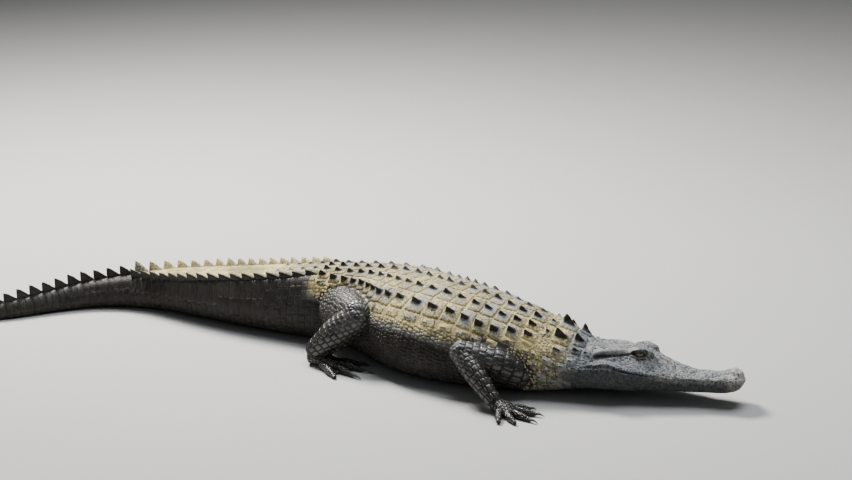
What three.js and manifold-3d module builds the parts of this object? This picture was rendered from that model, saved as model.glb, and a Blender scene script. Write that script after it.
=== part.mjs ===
// A life-size American alligator, basking on its belly with its tail curled round behind it.
// The head points to +X and turns towards -Y, the tail runs to -X, and the floor is at z = 0.
// Sizes are in millimetres. A station is the distance back along the midline from the snout tip.
import * as THREE from "three";
import { ConvexGeometry } from "three/addons/geometries/ConvexGeometry.js";
import { mergeVertices } from "three/addons/utils/BufferGeometryUtils.js";
import Module from "manifold-3d";

const wasm = await Module();
wasm.setup();

// Where one named length of the body ends and the next begins.
const TOTAL_LENGTH = 3200;
const HEAD_END = 500;
const NECK_END = 640;
const TRUNK_END = 1568;
const GAP = 0.3;

// A smooth curve through [station, value] knots that never overshoots them.
function profile(...knots) {
  const last = knots.length - 1;
  const rise = (i) => (knots[i + 1][1] - knots[i][1]) / (knots[i + 1][0] - knots[i][0]);
  const slope = knots.map((_, i) => {
    if (i === 0 || i === last) return rise(Math.min(i, last - 1));
    const [before, after] = [rise(i - 1), rise(i)];
    return before * after > 0 ? (2 * before * after) / (before + after) : 0;
  });
  return (station) => {
    const s = THREE.MathUtils.clamp(station, knots[0][0], knots[last][0]);
    const i = Math.min(last - 1, knots.findLastIndex(([at]) => at <= s));
    const span = knots[i + 1][0] - knots[i][0];
    const t = (s - knots[i][0]) / span;
    const blend = t * t * (3 - 2 * t);
    const value = knots[i][1] + (knots[i + 1][1] - knots[i][1]) * blend;
    return value + span * t * (1 - t) * ((1 - t) * slope[i] - t * slope[i + 1]);
  };
}

// How far the midline turns from +X towards -Y, in degrees. The skull is straight.
const turn = profile([0, 19], [480, 19], [640, 26], [900, 28], [1150, 54], [1350, 36],
  [1450, 27], [1600, 23], [1800, 27], [2050, 31], [2250, 20], [2430, 0], [2600, -22], [2750, -28],
  [2900, -14], [3200, 50]);

// The body's outline from above and from the side.
const halfWidth = profile([0, 14], [5, 30], [14, 46], [28, 57], [50, 64], [75, 65], [100, 63],
  [140, 70], [190, 83], [250, 98], [310, 115], [370, 132], [430, 144], [490, 150], [560, 155], [650, 178],
  [760, 212], [900, 236], [1060, 244], [1200, 236], [1340, 208], [1460, 172], [1560, 150],
  [1680, 138], [1850, 124], [2050, 106], [2300, 74], [2550, 50], [2800, 31], [3000, 19],
  [3130, 10], [3200, 4]);
const backHeight = profile([0, 96], [5, 103], [14, 109], [30, 114], [55, 111], [90, 104], [140, 104],
  [190, 110], [240, 126], [285, 143], [320, 155], [350, 159], [460, 161], [500, 172], [570, 203],
  [660, 234], [780, 256], [920, 277], [1060, 286], [1200, 284], [1340, 274], [1460, 262], [1560, 250],
  [1700, 226], [1900, 192], [2100, 160], [2300, 131], [2500, 104], [2700, 79], [2900, 56],
  [3050, 38], [3150, 22], [3200, 12]);
const bellyHeight = profile([0, 68], [6, 56], [16, 45], [34, 38], [70, 33], [200, 28], [440, 24], [520, 20],
  [610, 9], [700, 0], [3200, 0]);

// The head lies rolled over a little, its right side up. The roll fades out along the neck, in degrees.
const roll = profile([0, 8], [470, 8], [640, 0], [3200, 0]);
const ROLL_HEIGHT = 90;

// The section's shape, as shares of its width and height.
const dorsalShare = profile([0, 0.5], [90, 0.6], [190, 0.5], [280, 0.44], [330, 0.45], [450, 0.5],
  [520, 0.5], [650, 0.5], [760, 0.58], [1060, 0.62], [1460, 0.6], [1650, 0.68], [1850, 0.8],
  [2050, 0.86], [2200, 0.78], [2360, 0.55], [3200, 0.5]);
const dorsalDrop = profile([0, 6], [100, 8], [280, 6], [330, 2], [450, 4], [540, 22], [760, 28],
  [1060, 30], [1460, 18], [1620, 9], [2300, 9], [2800, 8], [3200, 3]);
const wideShare = profile([0, 0.55], [40, 0.66], [110, 0.76], [190, 0.66], [260, 0.56], [330, 0.5],
  [450, 0.48], [700, 0.42], [1200, 0.4], [1560, 0.42], [3200, 0.45]);
const cheekShare = profile([0, 0.7], [180, 0.68], [290, 0.5], [330, 0.4], [440, 0.42], [520, 0.66],
  [700, 0.72], [1560, 0.74], [1750, 0.62], [3200, 0.6]);
const jawShare = profile([0, 0.8], [100, 0.86], [300, 0.9], [470, 0.9], [700, 0.93], [1560, 0.9], [1800, 0.88],
  [3200, 0.9]);
const bellyShare = profile([0, 0.3], [80, 0.62], [300, 0.66], [470, 0.56], [700, 0.52], [1200, 0.6],
  [1560, 0.44], [2000, 0.4], [3200, 0.45]);

// Half of the section at a station, from the crown down to the middle of the belly, as [sideways, height].
function halfSection(station) {
  const { lerp } = THREE.MathUtils;
  const wide = halfWidth(station);
  const top = backHeight(station);
  const low = bellyHeight(station);
  const edge = [wide * dorsalShare(station), top - dorsalDrop(station)];
  const wideHeight = lerp(low, top, wideShare(station));
  return [
    [0, top],
    edge,
    [lerp(edge[0], wide, cheekShare(station)), lerp(edge[1], wideHeight, 0.45)],
    [wide, wideHeight],
    [wide * jawShare(station), lerp(wideHeight, low, 0.6)],
    [wide * bellyShare(station), low],
    [0, low],
  ];
}

// The midline seen from above, walked back from the snout tip in short steps.
const MIDLINE_STEP = 4;
const midline = [new THREE.Vector2(0, 0)];
for (let s = MIDLINE_STEP / 2; s < TOTAL_LENGTH + MIDLINE_STEP; s += MIDLINE_STEP) {
  const angle = THREE.MathUtils.degToRad(turn(s));
  const step = new THREE.Vector2(-Math.cos(angle), Math.sin(angle)).multiplyScalar(MIDLINE_STEP);
  midline.push(midline.at(-1).clone().add(step));
}

// A point given by its station, its distance to the animal's right and its height.
function place(station, right, height) {
  const at = THREE.MathUtils.clamp(station / MIDLINE_STEP, 0, midline.length - 1.001);
  const i = Math.floor(at);
  const spot = midline[i].clone().lerp(midline[i + 1], at - i);
  const angle = THREE.MathUtils.degToRad(turn(station));
  const tilt = THREE.MathUtils.degToRad(roll(station));
  const above = height - ROLL_HEIGHT;
  const out = right * Math.cos(tilt) - above * Math.sin(tilt);
  const up = ROLL_HEIGHT + above * Math.cos(tilt) + right * Math.sin(tilt);
  return new THREE.Vector3(spot.x - out * Math.sin(angle), spot.y - out * Math.cos(angle), up);
}

// A straight frame at a station for things that stand beside the body: [back, right, height] from there.
function beside(station) {
  const base = place(station, 0, ROLL_HEIGHT);
  const angle = THREE.MathUtils.degToRad(turn(station));
  return ([back, right, height]) => new THREE.Vector3(
    base.x - back * Math.cos(angle) - right * Math.sin(angle),
    base.y + back * Math.sin(angle) - right * Math.cos(angle),
    height,
  );
}

// The smooth closed outline of a section, crown first, then down the right side and up the left.
function outline(station) {
  const half = halfSection(station);
  const left = half.slice(1, -1).reverse().map(([y, z]) => [-y, z]);
  const loop = [...half, ...left].map(([y, z]) => new THREE.Vector3(y, z, 0));
  return new THREE.CatmullRomCurve3(loop, true, "centripetal");
}

// The outline's point at t, moved outwards by lift, as [sideways, height].
function outlinePoint(curve, t, lift = 0) {
  const spot = curve.getPoint(t);
  const along = curve.getTangent(t);
  return [spot.x - along.y * lift, spot.y + along.x * lift];
}

const ARC_SAMPLES = 64;
const sections = new Map();
// A section with its running length from the crown down the right side, kept once it is worked out.
function section(station) {
  if (!sections.has(station)) {
    const curve = outline(station);
    const arc = [0];
    for (let i = 1; i <= ARC_SAMPLES; i++) {
      const step = curve.getPoint((i / ARC_SAMPLES) * 0.5).distanceTo(curve.getPoint(((i - 1) / ARC_SAMPLES) * 0.5));
      arc.push(arc[i - 1] + step);
    }
    sections.set(station, { curve, arc });
  }
  return sections.get(station);
}

// A point of the skin, given by its station and its signed distance round the section from the crown.
function skin(station, around, lift = 0) {
  const { curve, arc } = section(station);
  const far = Math.min(Math.abs(around), arc.at(-1) - 0.01);
  const i = arc.findLastIndex((a) => a <= far);
  const t = ((i + (far - arc[i]) / (arc[i + 1] - arc[i])) / ARC_SAMPLES) * 0.5;
  const [right, height] = outlinePoint(curve, t, lift);
  return place(station, Math.sign(around) * right, height);
}

// Closed mesh data as a solid, and a solid as a mesh geometry.
function solidOf(geometry) {
  geometry.deleteAttribute("normal");
  geometry.deleteAttribute("uv");
  const merged = mergeVertices(geometry, 1e-3);
  return new wasm.Manifold(new wasm.Mesh({
    numProp: 3,
    vertProperties: new Float32Array(merged.attributes.position.array),
    triVerts: new Uint32Array(merged.index.array),
  }));
}

function geometryOf(solid) {
  const mesh = solid.getMesh();
  const geometry = new THREE.BufferGeometry();
  geometry.setAttribute("position", new THREE.BufferAttribute(mesh.vertProperties, 3));
  geometry.setIndex(new THREE.BufferAttribute(mesh.triVerts, 1));
  geometry.computeVertexNormals();
  return geometry;
}

const largest = (solid) => solid.decompose().reduce((a, b) => (a.volume() > b.volume() ? a : b));
const fuse = (solids) => wasm.Manifold.union(solids);

// A closed skin over rings of points, each ring with the same number of them, front ring first.
function loft(rings) {
  const count = rings[0].length;
  const centre = (ring) => ring.reduce((sum, p) => sum.add(p), new THREE.Vector3()).divideScalar(count);
  const points = [...rings.flat(), centre(rings[0]), centre(rings.at(-1))];
  for (const p of points) p.z = Math.max(p.z, 0);
  const faces = [];
  const [front, back] = [points.length - 2, points.length - 1];
  const lastRing = (rings.length - 1) * count;
  for (let k = 0; k < count; k++) {
    const next = (k + 1) % count;
    faces.push(front, k, next, back, lastRing + next, lastRing + k);
    for (let r = 0; r < lastRing; r += count) {
      faces.push(r + k, r + count + k, r + next, r + next, r + count + k, r + count + next);
    }
  }
  const geometry = new THREE.BufferGeometry().setFromPoints(points);
  geometry.setIndex(faces);
  return solidOf(geometry);
}

// The body between two stations. Each stretch of the outline gets its share of corners.
const OUTLINE_CORNERS = [2, 2, 1, 1, 2, 1];
const CORNER_PLACES = OUTLINE_CORNERS.flatMap((n, rail) => Array.from({ length: n }, (_, k) => rail + k / n));
function plainRing(station, lift) {
  const rails = OUTLINE_CORNERS.length;
  const turnRound = [...CORNER_PLACES, rails, ...CORNER_PLACES.slice(1).reverse().map((c) => 2 * rails - c)];
  const { curve } = section(station);
  return turnRound.map((c) => place(station, ...outlinePoint(curve, c / (2 * rails), lift)));
}

function bodyLength(from, to, stations, lift = () => 0, ring = plainRing) {
  const stops = [from, ...stations.filter((s) => s > from + 4 && s < to - 4), to];
  return loft(stops.map((s) => ring(s, lift(s))));
}

const evenly = (from, to, step) => {
  const count = Math.max(1, Math.round((to - from) / step));
  return Array.from({ length: count + 1 }, (_, i) => from + ((to - from) * i) / count);
};

// Keeled plates. The plate stands just proud of the skin, and its narrow keel climbs to a peak at the back.
// A low keel is only a crease along the plate.
const SCUTE_ROOT = 11;
const SCUTE_RIM = 2.5;
const LOW_KEEL = 12;
function scute(front, back, inner, outer, keel) {
  const length = back - front;
  const middle = (inner + outer) / 2;
  if (keel < LOW_KEEL) return creasedScute(front, back, inner, outer, keel);
  const half = Math.min(12, Math.abs(outer - inner) * 0.24);
  const corners = [[front, inner], [front, outer], [back, inner], [back, outer]];
  const foot = [[front + length * 0.14, half], [back - length * 0.06, half]];
  const plate = solidOf(new ConvexGeometry(
    corners.flatMap(([s, a]) => [skin(s, a, -SCUTE_ROOT), skin(s, a, SCUTE_RIM)]),
  ));
  const blade = solidOf(new ConvexGeometry([
    ...foot.flatMap(([s, a]) => [skin(s, middle - a, -SCUTE_ROOT / 2), skin(s, middle + a, -SCUTE_ROOT / 2)]),
    skin(front + length * 0.36, middle, SCUTE_RIM + keel * 0.5),
    skin(back - length * 0.14, middle, SCUTE_RIM + keel),
  ]));
  return plate.add(blade);
}

function creasedScute(front, back, inner, outer, keel) {
  const middle = (inner + outer) / 2;
  const corners = [[front, inner], [front, outer], [back, inner], [back, outer]];
  return solidOf(new ConvexGeometry([
    ...corners.flatMap(([s, a]) => [skin(s, a, -SCUTE_ROOT), skin(s, a, SCUTE_RIM)]),
    skin(back - (back - front) * 0.08, middle, SCUTE_RIM + keel),
  ]));
}

// An upright blade of the tail's crest, low in front, with its peak at the back leaning outwards.
function crestBlade(front, back, around, thick, height, splay) {
  const length = back - front;
  const side = Math.sign(around);
  const top = (s, share, half) => {
    const foot = skin(s, around, 0);
    const lean = place(s, 1, 0).sub(place(s, 0, 0)).multiplyScalar(side * splay * share * height + half);
    return foot.add(lean).add(new THREE.Vector3(0, 0, share * height));
  };
  const half = thick * 0.6;
  const foot = [[front, -half], [front, half], [back, -half], [back, half]];
  return solidOf(new ConvexGeometry([
    ...foot.map(([s, a]) => skin(s, around + a, -SCUTE_ROOT / 2)),
    top(front + length * 0.3, 0.5, 0),
    top(back - length * 0.12, 1, -half * 0.3),
    top(back - length * 0.02, 0.96, half * 0.3),
  ]));
}

// The shield on the back: rows across the body, and how many columns each side of the midline.
const ROW_PITCH = 51;
const SHIELD_ROWS = 18;
const FIRST_ROW = TRUNK_END - SHIELD_ROWS * ROW_PITCH;
const COLUMN_WIDTH = profile([650, 46], [700, 54], [750, 70], [850, 84], [1000, 88], [1100, 88], [1200, 80],
  [1300, 60], [1450, 44], [1570, 38]);
const EDGE_COLUMN = 0.5;
const KEEL_HEIGHTS = [19, 22, 10];

// The trunk leans over to its right, so that the shield's middle lies this far round from the crown.
const lean = profile([480, 0], [540, 25], [600, 45], [700, 55], [750, 50], [850, 30], [950, 16], [1050, 18],
  [1150, 30], [1250, 38], [1350, 42], [1450, 36], [1568, 14], [1700, 0], [3200, 0]);

// The trunk's corners run along the seams of the shield, then down the flank to the belly.
function trunkRing(station, lift) {
  const end = section(station).arc.at(-1);
  const wide = COLUMN_WIDTH(station);
  const middle = lean(station);
  const half = (side) => {
    const seams = [1, 2, 2 + EDGE_COLUMN].map((column) => side * middle + column * wide);
    const flank = [0.28, 0.62].map((share) => THREE.MathUtils.lerp(seams.at(-1), end, share));
    return [...seams, ...flank].map((around) => side * around);
  };
  const round = [middle, ...half(1), end, ...half(-1).toReversed()];
  return round.map((around) => skin(station, around, lift));
}

function shieldScutes() {
  const plates = [];
  for (let row = 0; row < SHIELD_ROWS; row++) {
    const front = FIRST_ROW + row * ROW_PITCH;
    for (const side of [-1, 1]) {
      KEEL_HEIGHTS.forEach((keel, column) => {
        const wide = COLUMN_WIDTH(front) * (column === 2 ? EDGE_COLUMN : 1);
        const inner = lean(front) + side * (COLUMN_WIDTH(front) * column + 3);
        plates.push(scute(front + 4, front + ROW_PITCH - 4, inner, inner + side * (wide - 5), keel));
      });
    }
  }
  return plates;
}

// The neck's shield: pairs of big plates, and the small ones in front of and beside them.
const NECK_SCUTES = [
  { front: 556, length: 56, inner: 5, width: 72, keel: 32 },
  { front: 510, length: 42, inner: 12, width: 62, keel: 26 },
  { front: 566, length: 34, inner: 82, width: 32, keel: 14 },
  { front: 516, length: 30, inner: 80, width: 30, keel: 11 },
  { front: 615, length: 22, inner: 8, width: 40, keel: 10 },
];
const neckScutes = () => NECK_SCUTES.flatMap((plates) => [-1, 1].map((side) => {
  const { front, length, inner, width, keel } = plates;
  const start = lean(front) + side * inner;
  return scute(front, front + length, start, start + side * width, keel);
}));

// The tail's whorls. The two crests draw together and meet in one behind the last double whorl.
const WHORL_PITCH = 47;
const DOUBLE_WHORLS = 17;
const SINGLE_WHORLS = 16;
const doubleEnd = TRUNK_END + DOUBLE_WHORLS * WHORL_PITCH;
const singlePitch = (TOTAL_LENGTH - 60 - doubleEnd) / SINGLE_WHORLS;
const TAIL_CUTS = [TRUNK_END + 7 * WHORL_PITCH, doubleEnd, doubleEnd + 8 * singlePitch];
const crestOut = profile([1560, 72], [1650, 84], [1850, 94], [2050, 90], [2200, 66], [2300, 34], [2360, 13]);
const crestHeight = profile([1560, 18], [1700, 22], [1900, 27], [2150, 34], [2360, 40], [2600, 42],
  [2850, 36], [3050, 24], [3150, 13]);
const crestThick = profile([1560, 26], [1750, 20], [2000, 14], [2400, 11], [3150, 5]);

function tailScutes(from, to) {
  const blades = [];
  for (let whorl = 0; whorl < DOUBLE_WHORLS; whorl++) {
    const front = TRUNK_END + whorl * WHORL_PITCH;
    if (front < from - 1 || front + WHORL_PITCH > to + 1) continue;
    const back = front + WHORL_PITCH - 3;
    for (const side of [-1, 1]) {
      const out = side * crestOut(front);
      blades.push(crestBlade(front + 3, back, out, crestThick(front), crestHeight(front), 0.45));
      if (whorl < 7) {
        blades.push(scute(front + 3, back, out * 0.18, out * 0.68, 9 - whorl));
      }
    }
  }
  for (let whorl = 0; whorl < SINGLE_WHORLS; whorl++) {
    const front = doubleEnd + whorl * singlePitch;
    if (front < from - 1 || front + singlePitch > to + 1) continue;
    const back = front + singlePitch - 3;
    blades.push(crestBlade(front + 3, back, 0.001, crestThick(front), crestHeight(front), 0));
  }
  return blades;
}

// A tapering limb through stops of [back, right, height, half across, half deep], with round ends.
function limb(frame, stops, sides, steps, grow = 0) {
  const path = new THREE.CatmullRomCurve3(stops.map(frame));
  const girth = new THREE.CatmullRomCurve3(stops.map(([, , , a, b]) => new THREE.Vector3(a + grow, b + grow, 0)));
  const up = new THREE.Vector3(0, 0, 1);
  const ring = (t, shrink, shift) => {
    const ahead = path.getTangent(t);
    const across = new THREE.Vector3().crossVectors(up, ahead).normalize();
    const deep = new THREE.Vector3().crossVectors(ahead, across);
    const size = girth.getPoint(t);
    const middle = path.getPoint(t).addScaledVector(ahead, shift * Math.min(size.x, size.y));
    return Array.from({ length: sides }, (_, k) => {
      const angle = (-k / sides) * Math.PI * 2;
      return middle.clone()
        .addScaledVector(across, Math.cos(angle) * size.x * shrink)
        .addScaledVector(deep, Math.sin(angle) * size.y * shrink);
    });
  };
  const rings = [ring(0, 0.7, -0.6)];
  for (let i = 0; i <= steps; i++) rings.push(ring(i / steps, 1, 0));
  return loft([...rings, ring(1, 0.7, 0.6)]);
}

// Legs. Each joint is [back, right, height] from the limb's own place along the body.
const SHOULDER_STATION = 760;
const HIP_STATION = 1440;
const FORELEGS = {
  right: { shoulder: [-78, 172, 96], elbow: [104, 252, 160], wrist: [-52, 318, 34], aim: 14 },
  left: { shoulder: [-62, -168, 100], elbow: [112, -256, 146], wrist: [-20, -340, 34], aim: -30 },
};
const HINDLEGS = {
  right: { hip: [10, 90, 130], knee: [-122, 252, 172], ankle: [22, 302, 44], aim: 8 },
  left: { hip: [10, -90, 130], knee: [-150, -245, 152], ankle: [0, -322, 44], aim: -28 },
};
const FORE_TOES = [
  { spread: -46, reach: 62, claw: true },
  { spread: -22, reach: 84, claw: true },
  { spread: 2, reach: 92, claw: true },
  { spread: 27, reach: 84, claw: false },
  { spread: 52, reach: 66, claw: false },
];
const HIND_TOES = [
  { spread: -24, reach: 92, claw: true },
  { spread: -6, reach: 122, claw: true },
  { spread: 12, reach: 126, claw: true },
  { spread: 31, reach: 106, claw: false },
];

const mix = (a, b, t) => a.map((v, i) => v + (b[i] - v) * t);

// A foot flat on the floor: the palm from the wrist, then the toes, webs and claws fanned from its front.
function foot(frame, { wrist, aim, side, palm, toes, toeHalf, web }) {
  const toeBase = (angle, reach) => {
    const bearing = THREE.MathUtils.degToRad(aim + side * angle);
    return (height) => [wrist[0] - Math.cos(bearing) * reach, wrist[1] + Math.sin(bearing) * reach, height];
  };
  const middle = toeBase(0, palm.length);
  const pieces = [limb(frame, [
    [...wrist, palm.wrist, palm.wrist * 0.9],
    [...mix(wrist, middle(20), 0.5), palm.half * 0.86, 20],
    [...middle(12), palm.half, 13],
  ], 8, 2)];
  toes.forEach(({ spread, reach, claw }) => {
    const slice = (share, half, height) => [-1, -0.55, 0.55, 1].map((across) => {
      const turned = spread + THREE.MathUtils.radToDeg((across * half) / (palm.length * 0.72 + reach * share));
      return frame(toeBase(turned, palm.length * 0.72 + reach * share)(Math.abs(across) < 1 ? height : 0));
    });
    const toe = [...slice(0, toeHalf * 1.1, 24), ...slice(0.55, toeHalf, 20), ...slice(1, toeHalf * 0.6, 13)];
    pieces.push(solidOf(new ConvexGeometry(toe)));
    if (claw) {
      pieces.push(solidOf(new ConvexGeometry([...slice(0.9, 5, 11), ...slice(1.3, 0.6, 2)])));
    }
  });
  for (let k = 0; web > 0 && k + 1 < toes.length; k++) {
    const [a, b] = [toes[k], toes[k + 1]];
    const knuckle = (toe, share) => frame(toeBase(toe.spread, palm.length * 0.72 + toe.reach * share)(0));
    const edge = [knuckle(a, 0), knuckle(a, web), knuckle(b, web), knuckle(b, 0)];
    const sunk = edge.flatMap((p) => [p.clone().setZ(1.5), p.clone().setZ(5)]);
    pieces.push(solidOf(new ConvexGeometry(sunk)));
  }
  return fuse(pieces);
}

const grown = () => GAP;
const flush = () => 0;
const trunkStations = evenly(FIRST_ROW, TRUNK_END, ROW_PITCH);
const trunkCore = bodyLength(NECK_END, TRUNK_END, trunkStations, flush, trunkRing);
const torsoClear = bodyLength(NECK_END - 1, TRUNK_END + 1, trunkStations, grown, trunkRing);
const tailRootClear = bodyLength(TRUNK_END - 1, TAIL_CUTS[0], evenly(TRUNK_END, TAIL_CUTS[0], 47), grown);
const neckClear = bodyLength(HEAD_END, NECK_END + 1, evenly(HEAD_END, NECK_END, 38), grown);

function upperArmShape(side, grow) {
  const { shoulder, elbow } = FORELEGS[side];
  return limb(beside(SHOULDER_STATION), [
    [...shoulder, 60, 64],
    [...mix(shoulder, elbow, 0.5), 47, 47],
    [...elbow, 36, 38],
  ], 12, 4, grow);
}

// A foreleg as its three named lengths, each cut clear of the one that it hangs from.
function foreleg(side) {
  const { elbow, wrist, aim } = FORELEGS[side];
  const frame = beside(SHOULDER_STATION);
  const sign = side === "right" ? 1 : -1;
  const upper = (grow) => upperArmShape(side, grow);
  const lower = (grow) => limb(frame, [
    [...elbow, 33, 34],
    [...mix(elbow, wrist, 0.4), 35, 37],
    [...wrist, 25, 24],
  ], 10, 4, grow);
  const arm = largest(upper(0).subtract(torsoClear).subtract(neckClear));
  const forearm = largest(lower(0).subtract(upper(GAP)).subtract(torsoClear).subtract(neckClear));
  const hand = largest(foot(frame, {
    wrist: [wrist[0] - 12, wrist[1], 24], aim, side: sign, toes: FORE_TOES, toeHalf: 11, web: 0,
    palm: { length: 62, wrist: 26, half: 38 },
  }).subtract(lower(GAP)).subtract(torsoClear).subtract(neckClear));
  return { [`upper_arm_${side}`]: arm, [`forearm_${side}`]: forearm, [`forefoot_${side}`]: hand };
}

function thighShape(side, grow) {
  const { hip, knee } = HINDLEGS[side];
  return limb(beside(HIP_STATION), [
    [...hip, 100, 92],
    [...mix(hip, knee, 0.5), 88, 82],
    [...knee, 56, 58],
  ], 12, 4, grow);
}

function hindleg(side) {
  const { knee, ankle, aim } = HINDLEGS[side];
  const frame = beside(HIP_STATION);
  const sign = side === "right" ? 1 : -1;
  const upper = (grow) => thighShape(side, grow);
  const lower = (grow) => limb(frame, [
    [...knee, 50, 52],
    [...mix(knee, ankle, 0.45), 54, 55],
    [...ankle, 33, 36],
  ], 10, 4, grow);
  const thigh = largest(upper(0).subtract(torsoClear).subtract(tailRootClear));
  const shank = largest(lower(0).subtract(upper(GAP)).subtract(torsoClear));
  const sole = largest(foot(frame, {
    wrist: [ankle[0] - 6, ankle[1], 26], aim, side: sign, toes: HIND_TOES, toeHalf: 12.5, web: 0.6,
    palm: { length: 96, wrist: 30, half: 37 },
  }).subtract(lower(GAP)).subtract(torsoClear));
  return { [`thigh_${side}`]: thigh, [`shank_${side}`]: shank, [`hindfoot_${side}`]: sole };
}

// An ellipsoid by its middle and half sizes along the head, across it and upwards.
function egg([station, right, height], [long, wide, tall], detail = 12) {
  const ball = new THREE.SphereGeometry(1, detail, Math.round(detail * 0.7));
  ball.scale(long, wide, tall);
  ball.rotateX(-THREE.MathUtils.degToRad(roll(station)));
  ball.rotateZ(-THREE.MathUtils.degToRad(turn(station)));
  const middle = place(station, right, height);
  ball.translate(middle.x, middle.y, middle.z);
  return solidOf(ball);
}

// A strip in the head's side view, given by its upper and lower edges and its reach to each side.
function sidePlate(upper, lower, innerReach, outerReach) {
  const shape = new THREE.Shape([...upper, ...lower.toReversed()].map(([s, z]) => new THREE.Vector2(-s, z)));
  const plate = new THREE.ExtrudeGeometry(shape, { depth: outerReach - innerReach, bevelEnabled: false });
  plate.translate(0, 0, innerReach);
  plate.rotateX(Math.PI / 2);
  plate.translate(0, 0, -ROLL_HEIGHT);
  plate.rotateX(-THREE.MathUtils.degToRad(roll(0)));
  plate.translate(0, 0, ROLL_HEIGHT);
  plate.rotateZ(-THREE.MathUtils.degToRad(turn(0)));
  return solidOf(plate);
}

// The mouth: a wavy line that dips at the big teeth and climbs to its corner under the ear.
const mouthLine = profile([-20, 86], [10, 84], [38, 77], [70, 84], [112, 75], [160, 83], [215, 76], [270, 84],
  [330, 102], [378, 118], [420, 122], [500, 122]);
const MOUTH_GAP = 0.6;
const mouthStops = evenly(-20, HEAD_END + 20, 30);
const mouthCut = sidePlate(mouthStops.map((s) => [s, mouthLine(s) + MOUTH_GAP]),
  mouthStops.map((s) => [s, mouthLine(s)]), -260, 260);
const underMouth = sidePlate(mouthStops.map((s) => [s, mouthLine(s) + MOUTH_GAP / 2]),
  mouthStops.map((s) => [s, -20]), -260, 260);

// The lower jaw is a little narrower, so that the upper teeth hang down outside it.
const jawInset = profile([0, 10], [290, 10], [385, 0], [HEAD_END, 0]);
const TOOTH_STATIONS = [18, 36, 54, 90, 118, 142, 172, 204, 232, 256];
// The edge of the upper lip at a station, as [sideways, height].
function lipEdge(station) {
  const { curve } = section(station);
  const spots = Array.from({ length: 60 }, (_, i) => outlinePoint(curve, 0.08 + i * 0.006));
  const off = ([, height]) => Math.abs(height - mouthLine(station));
  return spots.reduce((a, b) => (off(a) < off(b) ? a : b));
}
const toothSize = profile([18, 3.2], [36, 4.3], [70, 3], [118, 4.3], [160, 3.2], [200, 3.8], [256, 3]);
function tooth(station, side, grow = 0) {
  const size = toothSize(station) + grow;
  const [lip] = lipEdge(station);
  const cone = new THREE.ConeGeometry(size, size * 5, 5);
  cone.rotateX(-Math.PI / 2);
  const root = toothSize(station);
  const middle = place(station, side * (lip - root * 0.85), mouthLine(station) - root * 1.3);
  cone.translate(middle.x, middle.y, middle.z);
  return solidOf(cone);
}
const teeth = (grow) => TOOTH_STATIONS.flatMap((s) => [-1, 1].map((side) => tooth(s, side, grow)));

// The eye sits under a raised brow, between two lids.
const EYE = { station: 335, right: 58, height: 150, radius: 17.5 };
const BROW = { station: 335, right: 46, height: 147, size: [46, 28, 24] };
const eyeSpot = (side) => [EYE.station, side * EYE.right, EYE.height];
function lidOpening(side) {
  const upper = [[359, 151], [349, 160], [337, 164], [324, 160], [309, 145]];
  const lower = [[359, 149], [347, 145], [335, 143], [322, 142], [309, 142]];
  return sidePlate(upper, lower, side > 0 ? 63 : -100, side > 0 ? 100 : -63);
}

// The ear is a long slit under the edge of the skull, shut by a movable flap.
const EAR = { station: 421, right: 82, height: 146, size: [54, 13, 12] };
function earFlap(side, grow) {
  return egg([EAR.station, side * EAR.right, EAR.height], EAR.size.map((half) => half + grow), 10);
}

function buildHead() {
  const stations = [5, 14, 28, 50, 78, 110, 150, 190, 230, 265, 295, 320, 345, 385, 430, 470];
  const whole = bodyLength(0, HEAD_END - GAP, stations);
  const features = [
    egg([34, 0, 104], [30, 34, 16], 8),
    ...[-1, 1].flatMap((side) => [
      egg([BROW.station, side * BROW.right, BROW.height], BROW.size, 10),
      egg(eyeSpot(side), [EYE.radius + 4, EYE.radius + 4, EYE.radius + 1], 9),
      egg([436, side * 122, 99], [60, 30, 25], 8),
    ]),
  ];
  const cuts = [-1, 1].flatMap((side) => [
    lidOpening(side),
    egg(eyeSpot(side), [EYE.radius + GAP, EYE.radius + GAP, EYE.radius + GAP], 10),
    earFlap(side, GAP),
    egg([26, side * 13, 121], [9, 6, 8], 6),
  ]);
  const behind = bodyLength(HEAD_END - GAP, HEAD_END + 80, evenly(HEAD_END, HEAD_END + 80, 20), () => 60);
  const within = (core) => fuse([core, ...features]).subtract(behind);
  const carved = cuts.reduce((body, cut) => body.subtract(cut), within(whole));
  const inset = within(bodyLength(9, HEAD_END - GAP, stations.slice(1), (s) => -jawInset(s)));
  const upper = largest(fuse([largest(carved.subtract(mouthCut).subtract(underMouth)), ...teeth(0)]));
  const jaw = largest(inset.subtract(mouthCut).intersect(underMouth).subtract(fuse(teeth(GAP + 0.1))));
  const eyes = [-1, 1].map((side) => egg(eyeSpot(side), [EYE.radius, EYE.radius, EYE.radius], 10));
  const flaps = [-1, 1].map((side) => earFlap(side, 0));
  return {
    head: upper, lower_jaw: jaw, eye_left: eyes[0], eye_right: eyes[1], ear_left: flaps[0], ear_right: flaps[1],
  };
}

function buildTail() {
  const names = ["tail_base", "tail_middle", "tail_rear", "tail_tip"];
  const ends = [TRUNK_END, ...TAIL_CUTS, TOTAL_LENGTH];
  return Object.fromEntries(names.map((name, i) => {
    const core = bodyLength(ends[i] + GAP, ends[i + 1], evenly(ends[i], ends[i + 1], i < 2 ? 47 : 52));
    return [name, largest(fuse([core, ...tailScutes(ends[i], ends[i + 1])]))];
  }));
}

// The shield's plates stop where the legs rise beside them.
const legRoots = fuse(["right", "left"].flatMap((side) => [thighShape(side, GAP), upperArmShape(side, GAP)]));
const shield = fuse(shieldScutes()).subtract(legRoots);

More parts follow.
